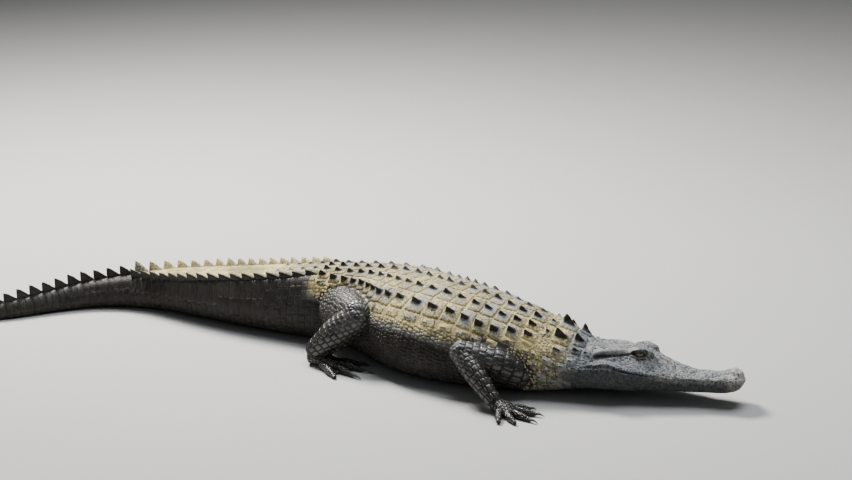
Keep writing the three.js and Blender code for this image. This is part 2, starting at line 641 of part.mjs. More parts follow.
const solids = {
  ...buildHead(),
  neck: largest(fuse([
    bodyLength(HEAD_END, NECK_END - GAP, evenly(HEAD_END, NECK_END, 38)),
    ...neckScutes(),
  ])),
  torso: largest(fuse([trunkCore, shield])),
  ...buildTail(),
  ...foreleg("right"),
  ...foreleg("left"),
  ...hindleg("right"),
  ...hindleg("left"),
};

// Colours: dusty olive on the back, near black and wet on the legs, blue grey on the head.
const FINISHES = {
  head: { color: 0x6d7174, roughness: 0.6 },
  back: { color: 0x8a8463, roughness: 0.75 },
  leg: { color: 0x2b2d2e, roughness: 0.35 },
  eye: { color: 0x4a3a18, roughness: 0.1 },
};
function finishOf(name) {
  if (name.startsWith("eye")) return FINISHES.eye;
  if (/head|jaw|ear_/.test(name)) return FINISHES.head;
  return /arm|foot|thigh|shank/.test(name) ? FINISHES.leg : FINISHES.back;
}

const alligator = new THREE.Group();
for (const [name, solid] of Object.entries(solids)) {
  const mesh = new THREE.Mesh(geometryOf(solid), new THREE.MeshStandardMaterial({ ...finishOf(name), metalness: 0 }));
  mesh.name = name;
  alligator.add(mesh);
}
// The frame's origin is on the floor, under the middle of the whole animal.
const extent = new THREE.Box3().setFromObject(alligator);
const middle = extent.getCenter(new THREE.Vector3());
alligator.position.set(-middle.x, -middle.y, 0);

export default alligator;
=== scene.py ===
"""The looks of a life-size American alligator basking on its belly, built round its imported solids.

Lengths in the helpers are millimetres. A station is the distance back along the midline from the snout tip.
A share is the signed part of the half girth, from the crown (0) to the middle of the belly (1, or -1 on the
left side).
"""
import math
import bpy
import numpy as np
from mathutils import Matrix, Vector
from mathutils.kdtree import KDTree


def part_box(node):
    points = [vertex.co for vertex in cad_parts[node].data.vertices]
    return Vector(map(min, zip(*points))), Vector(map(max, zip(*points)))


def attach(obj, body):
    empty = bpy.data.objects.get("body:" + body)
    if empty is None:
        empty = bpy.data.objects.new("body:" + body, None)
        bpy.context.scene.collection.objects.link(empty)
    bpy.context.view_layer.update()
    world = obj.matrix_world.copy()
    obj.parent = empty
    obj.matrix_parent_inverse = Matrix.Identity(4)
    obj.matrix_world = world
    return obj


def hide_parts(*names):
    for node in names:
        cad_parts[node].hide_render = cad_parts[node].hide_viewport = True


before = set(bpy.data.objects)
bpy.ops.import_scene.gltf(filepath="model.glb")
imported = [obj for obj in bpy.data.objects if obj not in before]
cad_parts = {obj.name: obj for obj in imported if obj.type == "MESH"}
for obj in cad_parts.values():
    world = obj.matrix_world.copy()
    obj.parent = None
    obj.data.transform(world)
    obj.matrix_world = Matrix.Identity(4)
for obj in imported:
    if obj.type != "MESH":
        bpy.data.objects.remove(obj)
draw = np.random.default_rng(7)
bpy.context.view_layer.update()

TOTAL_LENGTH = 3200
TRUNK_END = 1568
# The skin and its pieces stay this far above the floor, in metres.
FLOOR_GAP = 0.0003
# Map units: the length of hide that one unit of the unwrap spans, and half of a scale's own patch on it.
MAP_SPAN = 3300
PATCH_HALF = 0.0015


# The body's formulas.
def profile(*knots):
    """A smooth value by station through [station, value] knots, flat past its ends and without overshoot."""
    xs = np.array([k[0] for k in knots], float)
    ys = np.array([k[1] for k in knots], float)
    rise = np.diff(ys) / np.diff(xs)
    slope = np.concatenate([rise[:1], np.zeros(len(xs) - 2), rise[-1:]])
    same = rise[:-1] * rise[1:] > 0
    slope[1:-1][same] = (2 * rise[:-1] * rise[1:])[same] / (rise[:-1] + rise[1:])[same]

    def value(station):
        s = np.clip(station, xs[0], xs[-1])
        i = np.clip(np.searchsorted(xs, s, side="right") - 1, 0, len(xs) - 2)
        span = xs[i + 1] - xs[i]
        t = (s - xs[i]) / span
        blend = t * t * (3 - 2 * t)
        return (ys[i] + (ys[i + 1] - ys[i]) * blend
                + span * t * (1 - t) * ((1 - t) * slope[i] - t * slope[i + 1]))
    return value


turn = profile([0, 19], [480, 19], [640, 26], [900, 28], [1150, 54], [1350, 36], [1450, 27], [1600, 23],
               [1800, 27], [2050, 31], [2250, 20], [2430, 0], [2600, -22], [2750, -28], [2900, -14],
               [3200, 50])
half_width = profile([0, 14], [5, 30], [14, 46], [28, 57], [50, 64], [75, 65], [100, 63], [140, 70],
                     [190, 83], [250, 98], [310, 115], [370, 132], [430, 144], [490, 150], [560, 155],
                     [650, 178], [760, 212], [900, 236], [1060, 244], [1200, 236], [1340, 208],
                     [1460, 172], [1560, 150], [1680, 138], [1850, 124], [2050, 106], [2300, 74],
                     [2550, 50], [2800, 31], [3000, 19], [3130, 10], [3200, 4])
back_height = profile([0, 96], [5, 103], [14, 109], [30, 114], [55, 111], [90, 104], [140, 104],
                      [190, 110], [240, 126], [285, 143], [320, 155], [350, 159], [460, 161], [500, 172],
                      [570, 203], [660, 234], [780, 256], [920, 277], [1060, 286], [1200, 284],
                      [1340, 274], [1460, 262], [1560, 250], [1700, 226], [1900, 192], [2100, 160],
                      [2300, 131], [2500, 104], [2700, 79], [2900, 56], [3050, 38], [3150, 22], [3200, 12])
belly_height = profile([0, 68], [6, 56], [16, 45], [34, 38], [70, 33], [200, 28], [440, 24], [520, 20],
                       [610, 9], [700, 0], [3200, 0])
dorsal_share = profile([0, 0.5], [90, 0.6], [190, 0.5], [280, 0.44], [330, 0.45], [450, 0.5], [520, 0.5],
                       [650, 0.5], [760, 0.58], [1060, 0.62], [1460, 0.6], [1650, 0.68], [1850, 0.8],
                       [2050, 0.86], [2200, 0.78], [2360, 0.55], [3200, 0.5])
dorsal_drop = profile([0, 6], [100, 8], [280, 6], [330, 2], [450, 4], [540, 22], [760, 28], [1060, 30],
                      [1460, 18], [1620, 9], [2300, 9], [2800, 8], [3200, 3])
wide_share = profile([0, 0.55], [40, 0.66], [110, 0.76], [190, 0.66], [260, 0.56], [330, 0.5], [450, 0.48],
                     [700, 0.42], [1200, 0.4], [1560, 0.42], [3200, 0.45])
cheek_share = profile([0, 0.7], [180, 0.68], [290, 0.5], [330, 0.4], [440, 0.42], [520, 0.66], [700, 0.72],
                      [1560, 0.74], [1750, 0.62], [3200, 0.6])
jaw_share = profile([0, 0.8], [100, 0.86], [300, 0.9], [470, 0.9], [700, 0.93], [1560, 0.9], [1800, 0.88],
                    [3200, 0.9])
belly_share = profile([0, 0.3], [80, 0.62], [300, 0.66], [470, 0.56], [700, 0.52], [1200, 0.6],
                      [1560, 0.44], [2000, 0.4], [3200, 0.45])

# The head lies rolled over a little, its right side up.
roll = profile([0, 8], [470, 8], [640, 0], [3200, 0])
ROLL_HEIGHT = 90

MIDLINE_STEP = 4
_walk = np.radians(turn(np.arange(MIDLINE_STEP / 2, TOTAL_LENGTH + MIDLINE_STEP, MIDLINE_STEP)))
_strides = np.stack([-np.cos(_walk), np.sin(_walk)], 1) * MIDLINE_STEP
MIDLINE = np.concatenate([[[0, 0]], np.cumsum(_strides, 0)])


def place(station, right, height):
    """Points from their stations, distances to the animal's right and heights."""
    station, right, height = np.broadcast_arrays(station, right, height)
    at = station / MIDLINE_STEP
    i = np.clip(np.floor(at).astype(int), 0, len(MIDLINE) - 2)
    spot = MIDLINE[i] + (MIDLINE[i + 1] - MIDLINE[i]) * (at - i)[..., None]
    angle, tilt = np.radians(turn(station)), np.radians(roll(station))
    above = height - ROLL_HEIGHT
    out = right * np.cos(tilt) - above * np.sin(tilt)
    up = ROLL_HEIGHT + above * np.cos(tilt) + right * np.sin(tilt)
    return np.stack([spot[..., 0] - out * np.sin(angle), spot[..., 1] - out * np.cos(angle), up], -1)


def catmull(points, t, closed):
    """Point and direction on centripetal curves: points (..., n, d), t (...) from 0 to 1."""
    n = points.shape[-2]
    p = t * (n if closed else n - 1)
    i = np.clip(np.floor(p).astype(int), 0, n - 1 if closed else n - 2)
    w = (p - i)[..., None]

    def pick(k):
        if closed:
            return np.take_along_axis(points, (np.mod(k, n))[..., None, None], -2)[..., 0, :]
        inside = np.take_along_axis(points, np.clip(k, 0, n - 1)[..., None, None], -2)[..., 0, :]
        first = 2 * points[..., 0, :] - points[..., 1, :]
        last = 2 * points[..., -1, :] - points[..., -2, :]
        return np.where((k < 0)[..., None], first, np.where((k > n - 1)[..., None], last, inside))
    x0, x1, x2, x3 = pick(i - 1), pick(i), pick(i + 1), pick(i + 2)
    d0, d1, d2 = (np.sum((b - a) ** 2, -1, keepdims=True) ** 0.25 for a, b in ((x0, x1), (x1, x2), (x2, x3)))
    d1 = np.where(d1 < 1e-4, 1, d1)
    d0 = np.where(d0 < 1e-4, d1, d0)
    d2 = np.where(d2 < 1e-4, d1, d2)
    t1 = ((x1 - x0) / d0 - (x2 - x0) / (d0 + d1) + (x2 - x1) / d1) * d1
    t2 = ((x2 - x1) / d1 - (x3 - x1) / (d1 + d2) + (x3 - x2) / d2) * d1
    c2 = -3 * x1 + 3 * x2 - 2 * t1 - t2
    c3 = 2 * x1 - 2 * x2 + t1 + t2
    along = t1 + 2 * c2 * w + 3 * c3 * w * w
    along /= np.maximum(np.linalg.norm(along, axis=-1, keepdims=True), 1e-9)
    return x1 + t1 * w + c2 * w * w + c3 * w ** 3, along


def outline(station, t):
    """Where a section's outline is at t (0 crown, 0.5 belly), and its direction, as [sideways, height]."""
    wide, top, low = half_width(station), back_height(station), belly_height(station)
    edge_y, edge_z = wide * dorsal_share(station), top - dorsal_drop(station)
    wide_z = low + (top - low) * wide_share(station)
    cheek = cheek_share(station)
    half = [(0 * wide, top), (edge_y, edge_z),
            (edge_y + (wide - edge_y) * cheek, edge_z + (wide_z - edge_z) * 0.45),
            (wide, wide_z), (wide * jaw_share(station), wide_z + (low - wide_z) * 0.6),
            (wide * belly_share(station), low), (0 * wide, low)]
    loop = half + [(-y, z) for y, z in half[5:0:-1]]
    points = np.stack([np.stack(p, -1) for p in loop], -2)
    return catmull(points, np.asarray(t, float), True)


# A table of where each share of the half girth lies on its section.
TABLE_STEP = 4
TABLE_S = np.arange(0, TOTAL_LENGTH + 1, TABLE_STEP, dtype=float)
_t = np.linspace(0, 0.5, 97)
_s, _tt = np.meshgrid(TABLE_S, _t, indexing="ij")
_spots, _ = outline(_s, _tt)
_gaps = np.linalg.norm(np.diff(_spots, axis=1), axis=2)
_arc = np.concatenate([np.zeros((len(TABLE_S), 1)), np.cumsum(_gaps, 1)], 1)
HALF_GIRTH = _arc[:, -1]
SHARES = np.linspace(0, 1, 129)
T_TABLE = np.array([np.interp(SHARES * arc[-1], arc, _t) for arc in _arc])


def half_girth(station):
    """The distance round a section from the crown to the middle of the belly."""
    return np.interp(station, TABLE_S, HALF_GIRTH)


def look_up(table, row, share):
    """The value between a table's entries, at a row number and at an unsigned share across its columns."""
    row = np.clip(row, 0, len(table) - 1.001)
    col = np.clip(share, 0, 1) * (table.shape[1] - 1)
    i, j = np.floor(row).astype(int), np.minimum(np.floor(col).astype(int), table.shape[1] - 2)
    a, b = row - i, col - j
    return ((1 - a) * ((1 - b) * table[i, j] + b * table[i, j + 1])
            + a * ((1 - b) * table[i + 1, j] + b * table[i + 1, j + 1]))


def core(station, share):
    """Sideways place, height and outward direction of the undressed body, for signed shares."""
    station, share = np.broadcast_arrays(np.asarray(station, float), np.asarray(share, float))
    spot, along = outline(station, look_up(T_TABLE, station / TABLE_STEP, np.abs(share)))
    side = np.where(share < 0, -1.0, 1.0)
    return spot[..., 0] * side, spot[..., 1], -along[..., 1] * side, along[..., 0]


def smooth(x, low, high):
    """An eased step from 0 at low to 1 at high, which may lie either way round."""
    t = np.clip((x - low) / (high - low), 0, 1)
    return t * t * (3 - 2 * t)


def bump(x, middle, width):
    """A bell of height 1 round the middle."""
    return np.exp(-((x - middle) / width) ** 2)


def soft_max(a, b, k):
    """The greater of two values, rounded where they meet."""
    h = np.clip(0.5 + 0.5 * (a - b) / k, 0, 1)
    return b * (1 - h) + a * h + k * h * (1 - h)


# The head's relief.
EYE = (335, 58, 150)
EYE_RADIUS = 17.5
# How far the skin lies inside the solids, where nothing is raised.
SKIN_DEPTH = 2.0
# The lift of a place whose direction misses an egg.
MISSED = -12.0
mouth_line = profile([-20, 86], [10, 84], [38, 77], [70, 84], [112, 75], [160, 83], [215, 76], [270, 83],
                     [330, 95], [372, 99], [400, 108], [430, 113], [485, 106], [520, 104])
jaw_inset = profile([0, 8], [290, 8], [385, 0], [500, 0])
ear_height = profile([360, 147], [474, 132])


def swell(s, y, z, ny, nz, centre, size):
    """How far each point moves along its direction to reach the far side of an egg, or MISSED."""
    cy, cz = y - centre[1], z - centre[2]
    a = (ny / size[1]) ** 2 + (nz / size[2]) ** 2
    b = 2 * (cy * ny / size[1] ** 2 + cz * nz / size[2] ** 2)
    c = (cy / size[1]) ** 2 + (cz / size[2]) ** 2 + ((s - centre[0]) / size[0]) ** 2 - 1
    root = b * b - 4 * a * c
    return np.where(root > 0, (-b + np.sqrt(np.maximum(root, 0))) / (2 * a), MISSED)


def almond(s, z):
    """Above 0 inside the opening between the lids, in millimetres from its edge, seen from the side."""
    x = (s - 334) / 28.0
    middle = 152.5 - 2.0 * x
    half = 9.6 * np.sqrt(np.maximum(1 - x * x, 0)) * (1 - 0.25 * x)
    return np.where(np.abs(x) < 1, half - np.abs(z - middle), -3 - 20 * (np.abs(x) - 1))


def ear_slit(s, slit):
    """1 in the ear's slit, which is widest at its rear end."""
    return bump(slit, 0, 2.4 + 4.0 * smooth(s, 415, 462)) * smooth(s, 352, 372) * smooth(s, 484, 474)


# Creases from the eye's front corner and over the brow, as (station, height) at both ends, with their depths.
CREASES = ((((313, 148), (294, 125)), 3.4), (((303, 161), (285, 139)), 2.0), (((292, 158), (274, 138)), 1.8),
           (((357, 149), (368, 146)), 3.0))


def to_line(s, z, a, b):
    """The distance of places on the head's side from a straight line between two others."""
    run = np.array(b, float) - a
    t = np.clip(((s - a[0]) * run[0] + (z - a[1]) * run[1]) / (run @ run), 0, 1)
    return np.hypot(s - a[0] - run[0] * t, z - a[1] - run[1] * t)


HEAD_STEP = 1.5
HEAD_S = np.arange(0, 604, HEAD_STEP)
HEAD_SHARE = np.linspace(0, 1, 341)


def head_relief():
    """The skin's lift over the head's undressed body, by station and share."""
    s, share = np.meshgrid(HEAD_S, HEAD_SHARE, indexing="ij")
    y, z, ny, nz = core(s, share)
    lift = np.zeros_like(s)
    # Raised eye, nostrils and jaw muscle.
    brow = swell(s, y, z, ny, nz, (335, 46, 147), (46, 28, 24))
    lid = swell(s, y, z, ny, nz, EYE, (EYE_RADIUS + 7, EYE_RADIUS + 3.6, EYE_RADIUS + 3.4))
    lift = soft_max(lift, soft_max(brow, lid, 4), 4)
    lift = soft_max(lift, swell(s, y, z, ny, nz, (34, 0, 104), (31, 35, 17)), 6)
    lift = soft_max(lift, swell(s, y, z, ny, nz, (30, 14, 112), (13, 11, 13)), 3)
    lift = soft_max(lift, swell(s, y, z, ny, nz, (436, 122, 99), (62, 31, 26)), 6)
    for _ in range(3):
        lift[1:-1] = (lift[:-2] + 2 * lift[1:-1] + lift[2:]) / 4
        lift[:, 1:-1] = (lift[:, :-2] + 2 * lift[:, 1:-1] + lift[:, 2:]) / 4
    # The opening of the eye, with a thick lower lid and a fold under it.
    height, out = z + nz * lift, y + ny * lift
    inside = almond(s, height)
    near = smooth(out, 58, 64) * smooth(height, 131, 137)
    ball = swell(s, y, z, ny, nz, EYE, (EYE_RADIUS,) * 3) - 4.5
    lift += near * 3.0 * bump(inside, -2.8, 1.9)
    lift -= near * 2.6 * bump(inside, -8.0, 1.6) * smooth(height, 149, 145)
    open_eye = near * smooth(inside, -0.6, 0.7)
    lift = lift + (np.maximum(ball, -6) - lift) * open_eye
    for crease, depth in CREASES:
        lift -= smooth(out, 50, 60) * depth * bump(to_line(s, height, *crease), 0, 1.9)
    # The ear: a long slit under the edge of the skull, with its plump flap above.
    slit = height - ear_height(s)
    beside = smooth(out, 56, 66)
    lift += beside * 5.5 * bump(slit, 12.5, 8.5) * smooth(s, 368, 395) * smooth(s, 484, 462)
    lift -= beside * ear_slit(s, slit) * (8.0 + 3.0 * smooth(s, 420, 460))
    # The skull's flat table with its raised edge, and the dip between the eyes.
    lift += 3.2 * bump(y, 70, 11) * smooth(s, 385, 420) * smooth(s, 500, 478) * smooth(z, 140, 152)
    lift -= 4.5 * bump(y, 0, 20) * bump(s, 338, 34) * smooth(z, 120, 140)
    # The line of the mouth, the inset lower jaw and the folds over the jaw muscle.
    fall = z + nz * lift * smooth(s, 350, 385) - mouth_line(s)
    shut = smooth(s, 500, 480)
    lift -= jaw_inset(s) * smooth(fall, 0.8, -2.2)
    lift -= shut * (4.0 + 3.5 * smooth(s, 340, 380)) * bump(fall, -0.6, 1.6 + 1.6 * smooth(s, 350, 390))
    lift += shut * 1.5 * bump(fall, 6.5, 4.5)
    fold = smooth(s, 385, 405) * smooth(s, 500, 484) * smooth(out, 90, 104)
    lift -= 1.8 * fold * (bump(fall, 13, 2.0) + bump(fall, -11, 2.0) + 0.7 * bump(fall, -20, 2.0))
    # Nostrils.
    across, back = y - 14.0, s - 25.0
    lift -= 7.5 * bump(np.hypot(back / 7.5, across / 4.2), 0, 0.8) * smooth(z, 100, 108)
    # Swellings of the upper jaw over the big teeth, and wrinkles across the snout.
    for at, amount in ((70, 3.0), (118, 3.5), (205, 3.0), (262, 2.0)):
        lift += amount * bump(s, at, 19) * bump(fall, 17, 15)
    snout = smooth(s, 60, 90) * smooth(s, 320, 280) * smooth(fall, 4, 16)
    lift += snout * 0.9 * np.sin(s / 4.3 + 1.4 * np.sin(y / 9)) * bump(y, 38, 22)
    lift += snout * 0.8 * np.sin(y / 4.2 + s / 31)
    return lift


HEAD_LIFT = head_relief()


def relief(station, share):
    """How far the skin stands off the undressed body."""
    station, share = np.broadcast_arrays(np.asarray(station, float), np.asarray(share, float))
    lift = look_up(HEAD_LIFT, station / HEAD_STEP, np.abs(share)) * smooth(station, 545, 490)
    flank = smooth(np.abs(share), 0.30, 0.42) * smooth(np.abs(share), 0.86, 0.74)
    # Folds of loose skin behind the jaw, in front of the shoulder and along the bent flank.
    folds = bump(station, 540, 34) * np.sin((station - 0.5 * np.abs(share) * 90) / 5.4)
    folds += 1.2 * bump(station, 690, 46) * np.sin((station + 60 * (np.abs(share) - 0.5) ** 2) / 6.2)
    lift += 2.0 * flank * folds
    # Rings of folds round the front of the shoulder.
    ring = np.hypot(station - 706, (np.abs(share) - 0.6) * half_girth(station))
    lift += 2.6 * bump(ring, 58, 26) * smooth(station, 716, 690) * np.sin(ring / 3.4)
    lift += 1.6 * flank * smooth(station, 860, 960) * smooth(station, 1440, 1330) * np.sin(station / 8.1)
    return lift - SKIN_DEPTH


def skin_point(station, share, lift=0.0):
    """Points that stand off the finished skin by lift."""
    y, z, ny, nz = core(station, share)
    off = relief(station, share) + lift
    return place(station, y + ny * off, z + nz * off)


# Meshes.
EYE_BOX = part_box("eye_right")
SHIFT = np.array([(EYE_BOX[0][k] + EYE_BOX[1][k]) / 2 for k in range(2)] + [0.0])
SHIFT[:2] -= place(*map(float, EYE))[:2] / 1000


def to_metres(points):
    """Points in the frame's own place and unit, none of them under the floor."""
    out = np.asarray(points, float).reshape(-1, 3) / 1000 + SHIFT
    out[:, 2] = np.maximum(out[:, 2], FLOOR_GAP)
    return out


def new_object(name, points, faces, uv=None, marks=None):
    """A mesh object from arrays. uv and marks hold one value a vertex."""
    mesh = bpy.data.meshes.new(name)
    mesh.from_pydata(to_metres(points), [], faces if isinstance(faces, list) else faces.tolist())
    obj = bpy.data.objects.new(name, mesh)
    bpy.context.scene.collection.objects.link(obj)
    loops = np.zeros(len(mesh.loops), int)
    mesh.loops.foreach_get("vertex_index", loops)
    if uv is not None:
        mesh.uv_layers.new(name="OFBake").data.foreach_set("uv", np.asarray(uv, float)[loops].ravel())
    if marks is not None:
        set_marks(mesh, marks)
    mesh.shade_smooth()
    return obj


def set_marks(mesh, marks):
    """Writes the dust, dark (damp hide, painted shade and painted sheen), head and tone channels to a mesh's
    vertices.
    """
    layer = mesh.attributes.get("Marks") or mesh.attributes.new("Marks", "FLOAT_COLOR", "POINT")
    rgba = np.ones((len(marks), 4))
    rgba[:, :marks.shape[1]] = marks
    layer.data.foreach_set("color", rgba.ravel())


def grid_faces(rows, cols, close=True):
    """Quads over rows x cols points laid out row by row, with the last column joined to the first."""
    r, c = np.meshgrid(np.arange(rows - 1), np.arange(cols if close else cols - 1), indexing="ij")
    right = (c + 1) % cols
    corners = [r * cols + c, (r + 1) * cols + c, (r + 1) * cols + right, r * cols + right]
    return np.stack(corners, -1).reshape(-1, 4)


def capped_faces(rows, cols):
    """The quads of a closed grid, and triangles from its ends to two more points, the first and the last."""
    first, end = rows * cols, (rows - 1) * cols
    faces = [tuple(f) for f in grid_faces(rows, cols)]
    faces += [(first, k, (k + 1) % cols) for k in range(cols)]
    return faces + [(first + 1, end + (k + 1) % cols, end + k) for k in range(cols)]


def merge(parts):
    """Several meshes' points and faces as one."""
    points, faces, count = [], [], 0
    for p, f in parts:
        points.append(p)
        faces += [tuple(count + i for i in face) for face in f]
        count += len(p)
    return np.concatenate(points), faces


def steps(*stretches):
    """Stations from stretches of (from, to, step)."""
    rows = [np.linspace(a, b, max(2, int(round((b - a) / step)) + 1)) for a, b, step in stretches]
    return np.unique(np.concatenate(rows))


# Vertices from the crown to the middle of the belly, in each row of the body's skin.
HALF_COLUMNS = 79


def body_skin():
    """The body's closed skin, finest round the eye and mouth, with its vertices' stations and shares."""
    rows = steps((0, 60, 2.4), (60, 290, 3.6), (290, 384, 1.7), (384, 500, 2.8), (500, TRUNK_END, 8),
                 (TRUNK_END, TOTAL_LENGTH, 10))
    fine = np.linspace(0, 1, 321)
    shares = []
    for s in rows:
        y, z, _, _ = core(np.full_like(fine, s), fine)
        on_head = smooth(s, 520, 470)
        mouth = np.exp(-((z - mouth_line(s)) / 5.0) ** 2) * smooth(s, 470, 430)
        eye = smooth(s, 290, 315) * smooth(s, 500, 470) * np.exp(-((y - 72) / 18) ** 2) * smooth(z, 112, 122)
        dense = 1 + on_head * (2.6 * mouth + 2.2 * eye)
        total = np.concatenate([[0], np.cumsum((dense[1:] + dense[:-1]) / 2)])
        shares.append(np.interp(np.linspace(0, 1, HALF_COLUMNS) * total[-1], total, fine))
    half = np.array(shares)
    share = np.concatenate([half, -half[:, -2:0:-1]], 1)
    station = np.repeat(rows[:, None], share.shape[1], 1)
    points = skin_point(station, share)
    first = points[0].mean(0) + np.array([3.0, -1.0, 0])
    last = points[-1].mean(0)
    flat = np.concatenate([points.reshape(-1, 3), [first, last]])
    return new_object("skin", flat, capped_faces(*share.shape)), station.ravel(), share.ravel()


# Limbs.
def beside(station):
    """Turns [back, right, height] beside a station of the midline into points."""
    base = place(float(station), 0.0, ROLL_HEIGHT)
    angle = math.radians(float(turn(station)))
    back = np.array([-math.cos(angle), math.sin(angle)])
    right = np.array([-math.sin(angle), -math.cos(angle)])

    def spot(points):
        p = np.asarray(points, float)
        flat = base[:2] + p[..., :1] * back + p[..., 1:2] * right
        return np.concatenate([flat, p[..., 2:3]], -1)
    return spot


def mix(a, b, t):
    return [u + (v - u) * t for u, v in zip(a, b)]


# How far a limb's rounded end reaches, in parts of its radius there, and where rows of vertices lie on it.
END_REACH = 0.75
END_ROWS = (0.3, 0.6, 0.85, 0.97)


class Limb:
    """A tapering round length through stops of back, right, height, half across and half deep."""

    def __init__(self, spot, stops):
        stops = np.array(stops, float)
        self.path = spot(stops[:, :3])
        self.girth = stops[:, 3:5]
        self.length = float(np.linalg.norm(np.diff(self.path, axis=0), axis=1).sum())

    def point(self, t, angle, lift=0.0):
        t, angle, lift = np.broadcast_arrays(np.asarray(t, float), np.asarray(angle, float), lift)
        inner = np.clip(t, 0, 1)
        path = np.broadcast_to(self.path, t.shape + self.path.shape)
        middle, ahead = catmull(path, inner, False)
        girth, _ = catmull(np.broadcast_to(self.girth, t.shape + self.girth.shape), inner, False)
        across = np.cross([0, 0, 1.0], ahead)
        across /= np.maximum(np.linalg.norm(across, axis=-1, keepdims=True), 1e-9)
        deep = np.cross(ahead, across)
        past = (t - inner) * self.length
        reach = END_REACH * girth.min(-1)
        shrink = np.sqrt(np.maximum(1 - (np.abs(past) / reach) ** 2, 0))
        a = (girth[..., 0] * shrink + lift)[..., None]
        b = (girth[..., 1] * shrink + lift)[..., None]
        swing = -angle[..., None]
        return middle + ahead * past[..., None] + across * np.cos(swing) * a + deep * np.sin(swing) * b

    def mesh(self, rows=24, cols=28):
        ends = END_REACH * self.girth[[0, -1]].min(1) / self.length
        t = np.concatenate([[-ends[0] * k for k in reversed(END_ROWS)], np.linspace(0, 1, rows),
                            [1 + ends[1] * k for k in END_ROWS]])
        angle = np.linspace(0, 2 * math.pi, cols, endpoint=False)
        tt, aa = np.meshgrid(t, angle, indexing="ij")
        points = self.point(tt, aa)
        middles = [points[0].mean(0), points[-1].mean(0)]
        return np.concatenate([points.reshape(-1, 3), middles]), capped_faces(len(t), cols)

    def inside(self, points, grow=0.0):
        """Whether points lie within the limb, grown by some millimetres."""
        t = np.linspace(-0.1, 1.1, 25)
        middle = self.point(t, np.zeros_like(t)) * 0.5 + self.point(t, np.full_like(t, math.pi)) * 0.5
        girth, _ = catmull(np.broadcast_to(self.girth, t.shape + self.girth.shape), np.clip(t, 0, 1), False)
        radius = girth.mean(-1) + grow
        gap = np.linalg.norm(points[:, None, :] - middle[None], axis=2) - radius[None]
        return gap.min(1) < 0


# Legs beside stations 760 and 1440, as (back, right, height), with the bearing of each foot in degrees.
FORE_STATION, HIND_STATION = 760, 1440
FORELEGS = {
    "right": dict(shoulder=(-78, 172, 96), elbow=(104, 252, 160), wrist=(-52, 318, 34), aim=14),
    "left": dict(shoulder=(-62, -168, 100), elbow=(112, -256, 146), wrist=(-20, -340, 34), aim=-30),
}
HINDLEGS = {
    "right": dict(hip=(10, 90, 130), knee=(-122, 252, 172), ankle=(22, 302, 44), aim=8),
    "left": dict(hip=(10, -90, 130), knee=(-150, -245, 152), ankle=(0, -322, 44), aim=-28),
}
# Toes as (spread from the foot's aim in degrees, length past the palm, whether it has a claw).
FORE_TOES = ((-46, 62, True), (-22, 84, True), (2, 92, True), (27, 84, False), (52, 66, False))
HIND_TOES = ((-24, 92, True), (-6, 122, True), (12, 126, True), (31, 106, False))
# Along a toe: share of its length, height, half across in parts of the toe's own, and half deep.
TOE_STOPS = ((0, 15, 1.02, 13.5), (0.3, 13.5, 0.86, 12.5), (0.52, 13, 0.98, 12.4), (0.74, 10, 0.74, 9.6),
             (0.95, 7, 0.58, 6.6))


def foot_parts(spot, wrist, aim, side, palm, toes, toe_half):
    """The palm and toes as limbs, and where each claw grows from."""
    def out(angle, reach, height):
        bearing = math.radians(aim + side * angle)
        return (wrist[0] - math.cos(bearing) * reach, wrist[1] + math.sin(bearing) * reach, height)
    middle = out(0, palm[0], 14)
    hand = Limb(spot, [
        (*mix(wrist, (*middle[:2], wrist[2]), -0.1), palm[1], palm[1] * 0.86),
        (*mix(wrist, (*middle[:2], 18), 0.5), palm[2] * 0.84, 19),
        (*out(0, palm[0] * 0.94, 13.5), palm[2] * 0.92, 13),
    ])
    fingers, claws = [], []
    for spread, reach, claw in toes:
        start = palm[0] * 0.6
        stops = [(*out(spread, start + (palm[0] * 0.12 + reach) * k, h), toe_half * a, b)
                 for k, h, a, b in TOE_STOPS]
        fingers.append(Limb(spot, stops))
        if claw:
            claws.append((spot(out(spread, palm[0] * 0.72 + reach * 0.9, 8)),
                          spot(out(spread, palm[0] * 0.72 + reach * 1.3, 1.6)), toe_half * 0.5))
    return hand, fingers, claws


def build_limbs():
    """Every leg as its parts, toes and claws."""
    limbs = {}
    for side, sign in (("right", 1), ("left", -1)):
        leg, spot = FORELEGS[side], beside(FORE_STATION)
        hand, fingers, claws = foot_parts(spot, (leg["wrist"][0] - 12, leg["wrist"][1], 24), leg["aim"], sign,
                                          (62, 26, 38), FORE_TOES, 11)
        limbs["fore_" + side] = dict(parts=[
            Limb(spot, [(-104, sign * 112, 62, 30, 32), (-66, sign * 163, 84, 46, 48),
                        (*mix(leg["shoulder"], leg["elbow"], 0.42), 51, 50),
                        (*mix(leg["shoulder"], leg["elbow"], 0.72), 46, 45), (*leg["elbow"], 36, 37)]),
            Limb(spot, [(*leg["elbow"], 33, 34), (*mix(leg["elbow"], leg["wrist"], 0.4), 34, 36),
                        (*leg["wrist"], 24, 23)]),
            hand], toes=fingers, claws=claws)
        leg, spot = HINDLEGS[side], beside(HIND_STATION)
        hand, fingers, claws = foot_parts(spot, (leg["ankle"][0] - 6, leg["ankle"][1], 26), leg["aim"], sign,
                                          (96, 30, 37), HIND_TOES, 12.5)
        limbs["hind_" + side] = dict(parts=[
            Limb(spot, [(*leg["hip"], 99, 91), (*mix(leg["hip"], leg["knee"], 0.5), 87, 81),
                        (*leg["knee"], 55, 57)]),
            Limb(spot, [(*leg["knee"], 50, 51), (*mix(leg["knee"], leg["ankle"], 0.45), 53, 54),
                        (*leg["ankle"], 32, 35)]),
            hand], toes=fingers, claws=claws)
    return limbs


LIMBS = build_limbs()


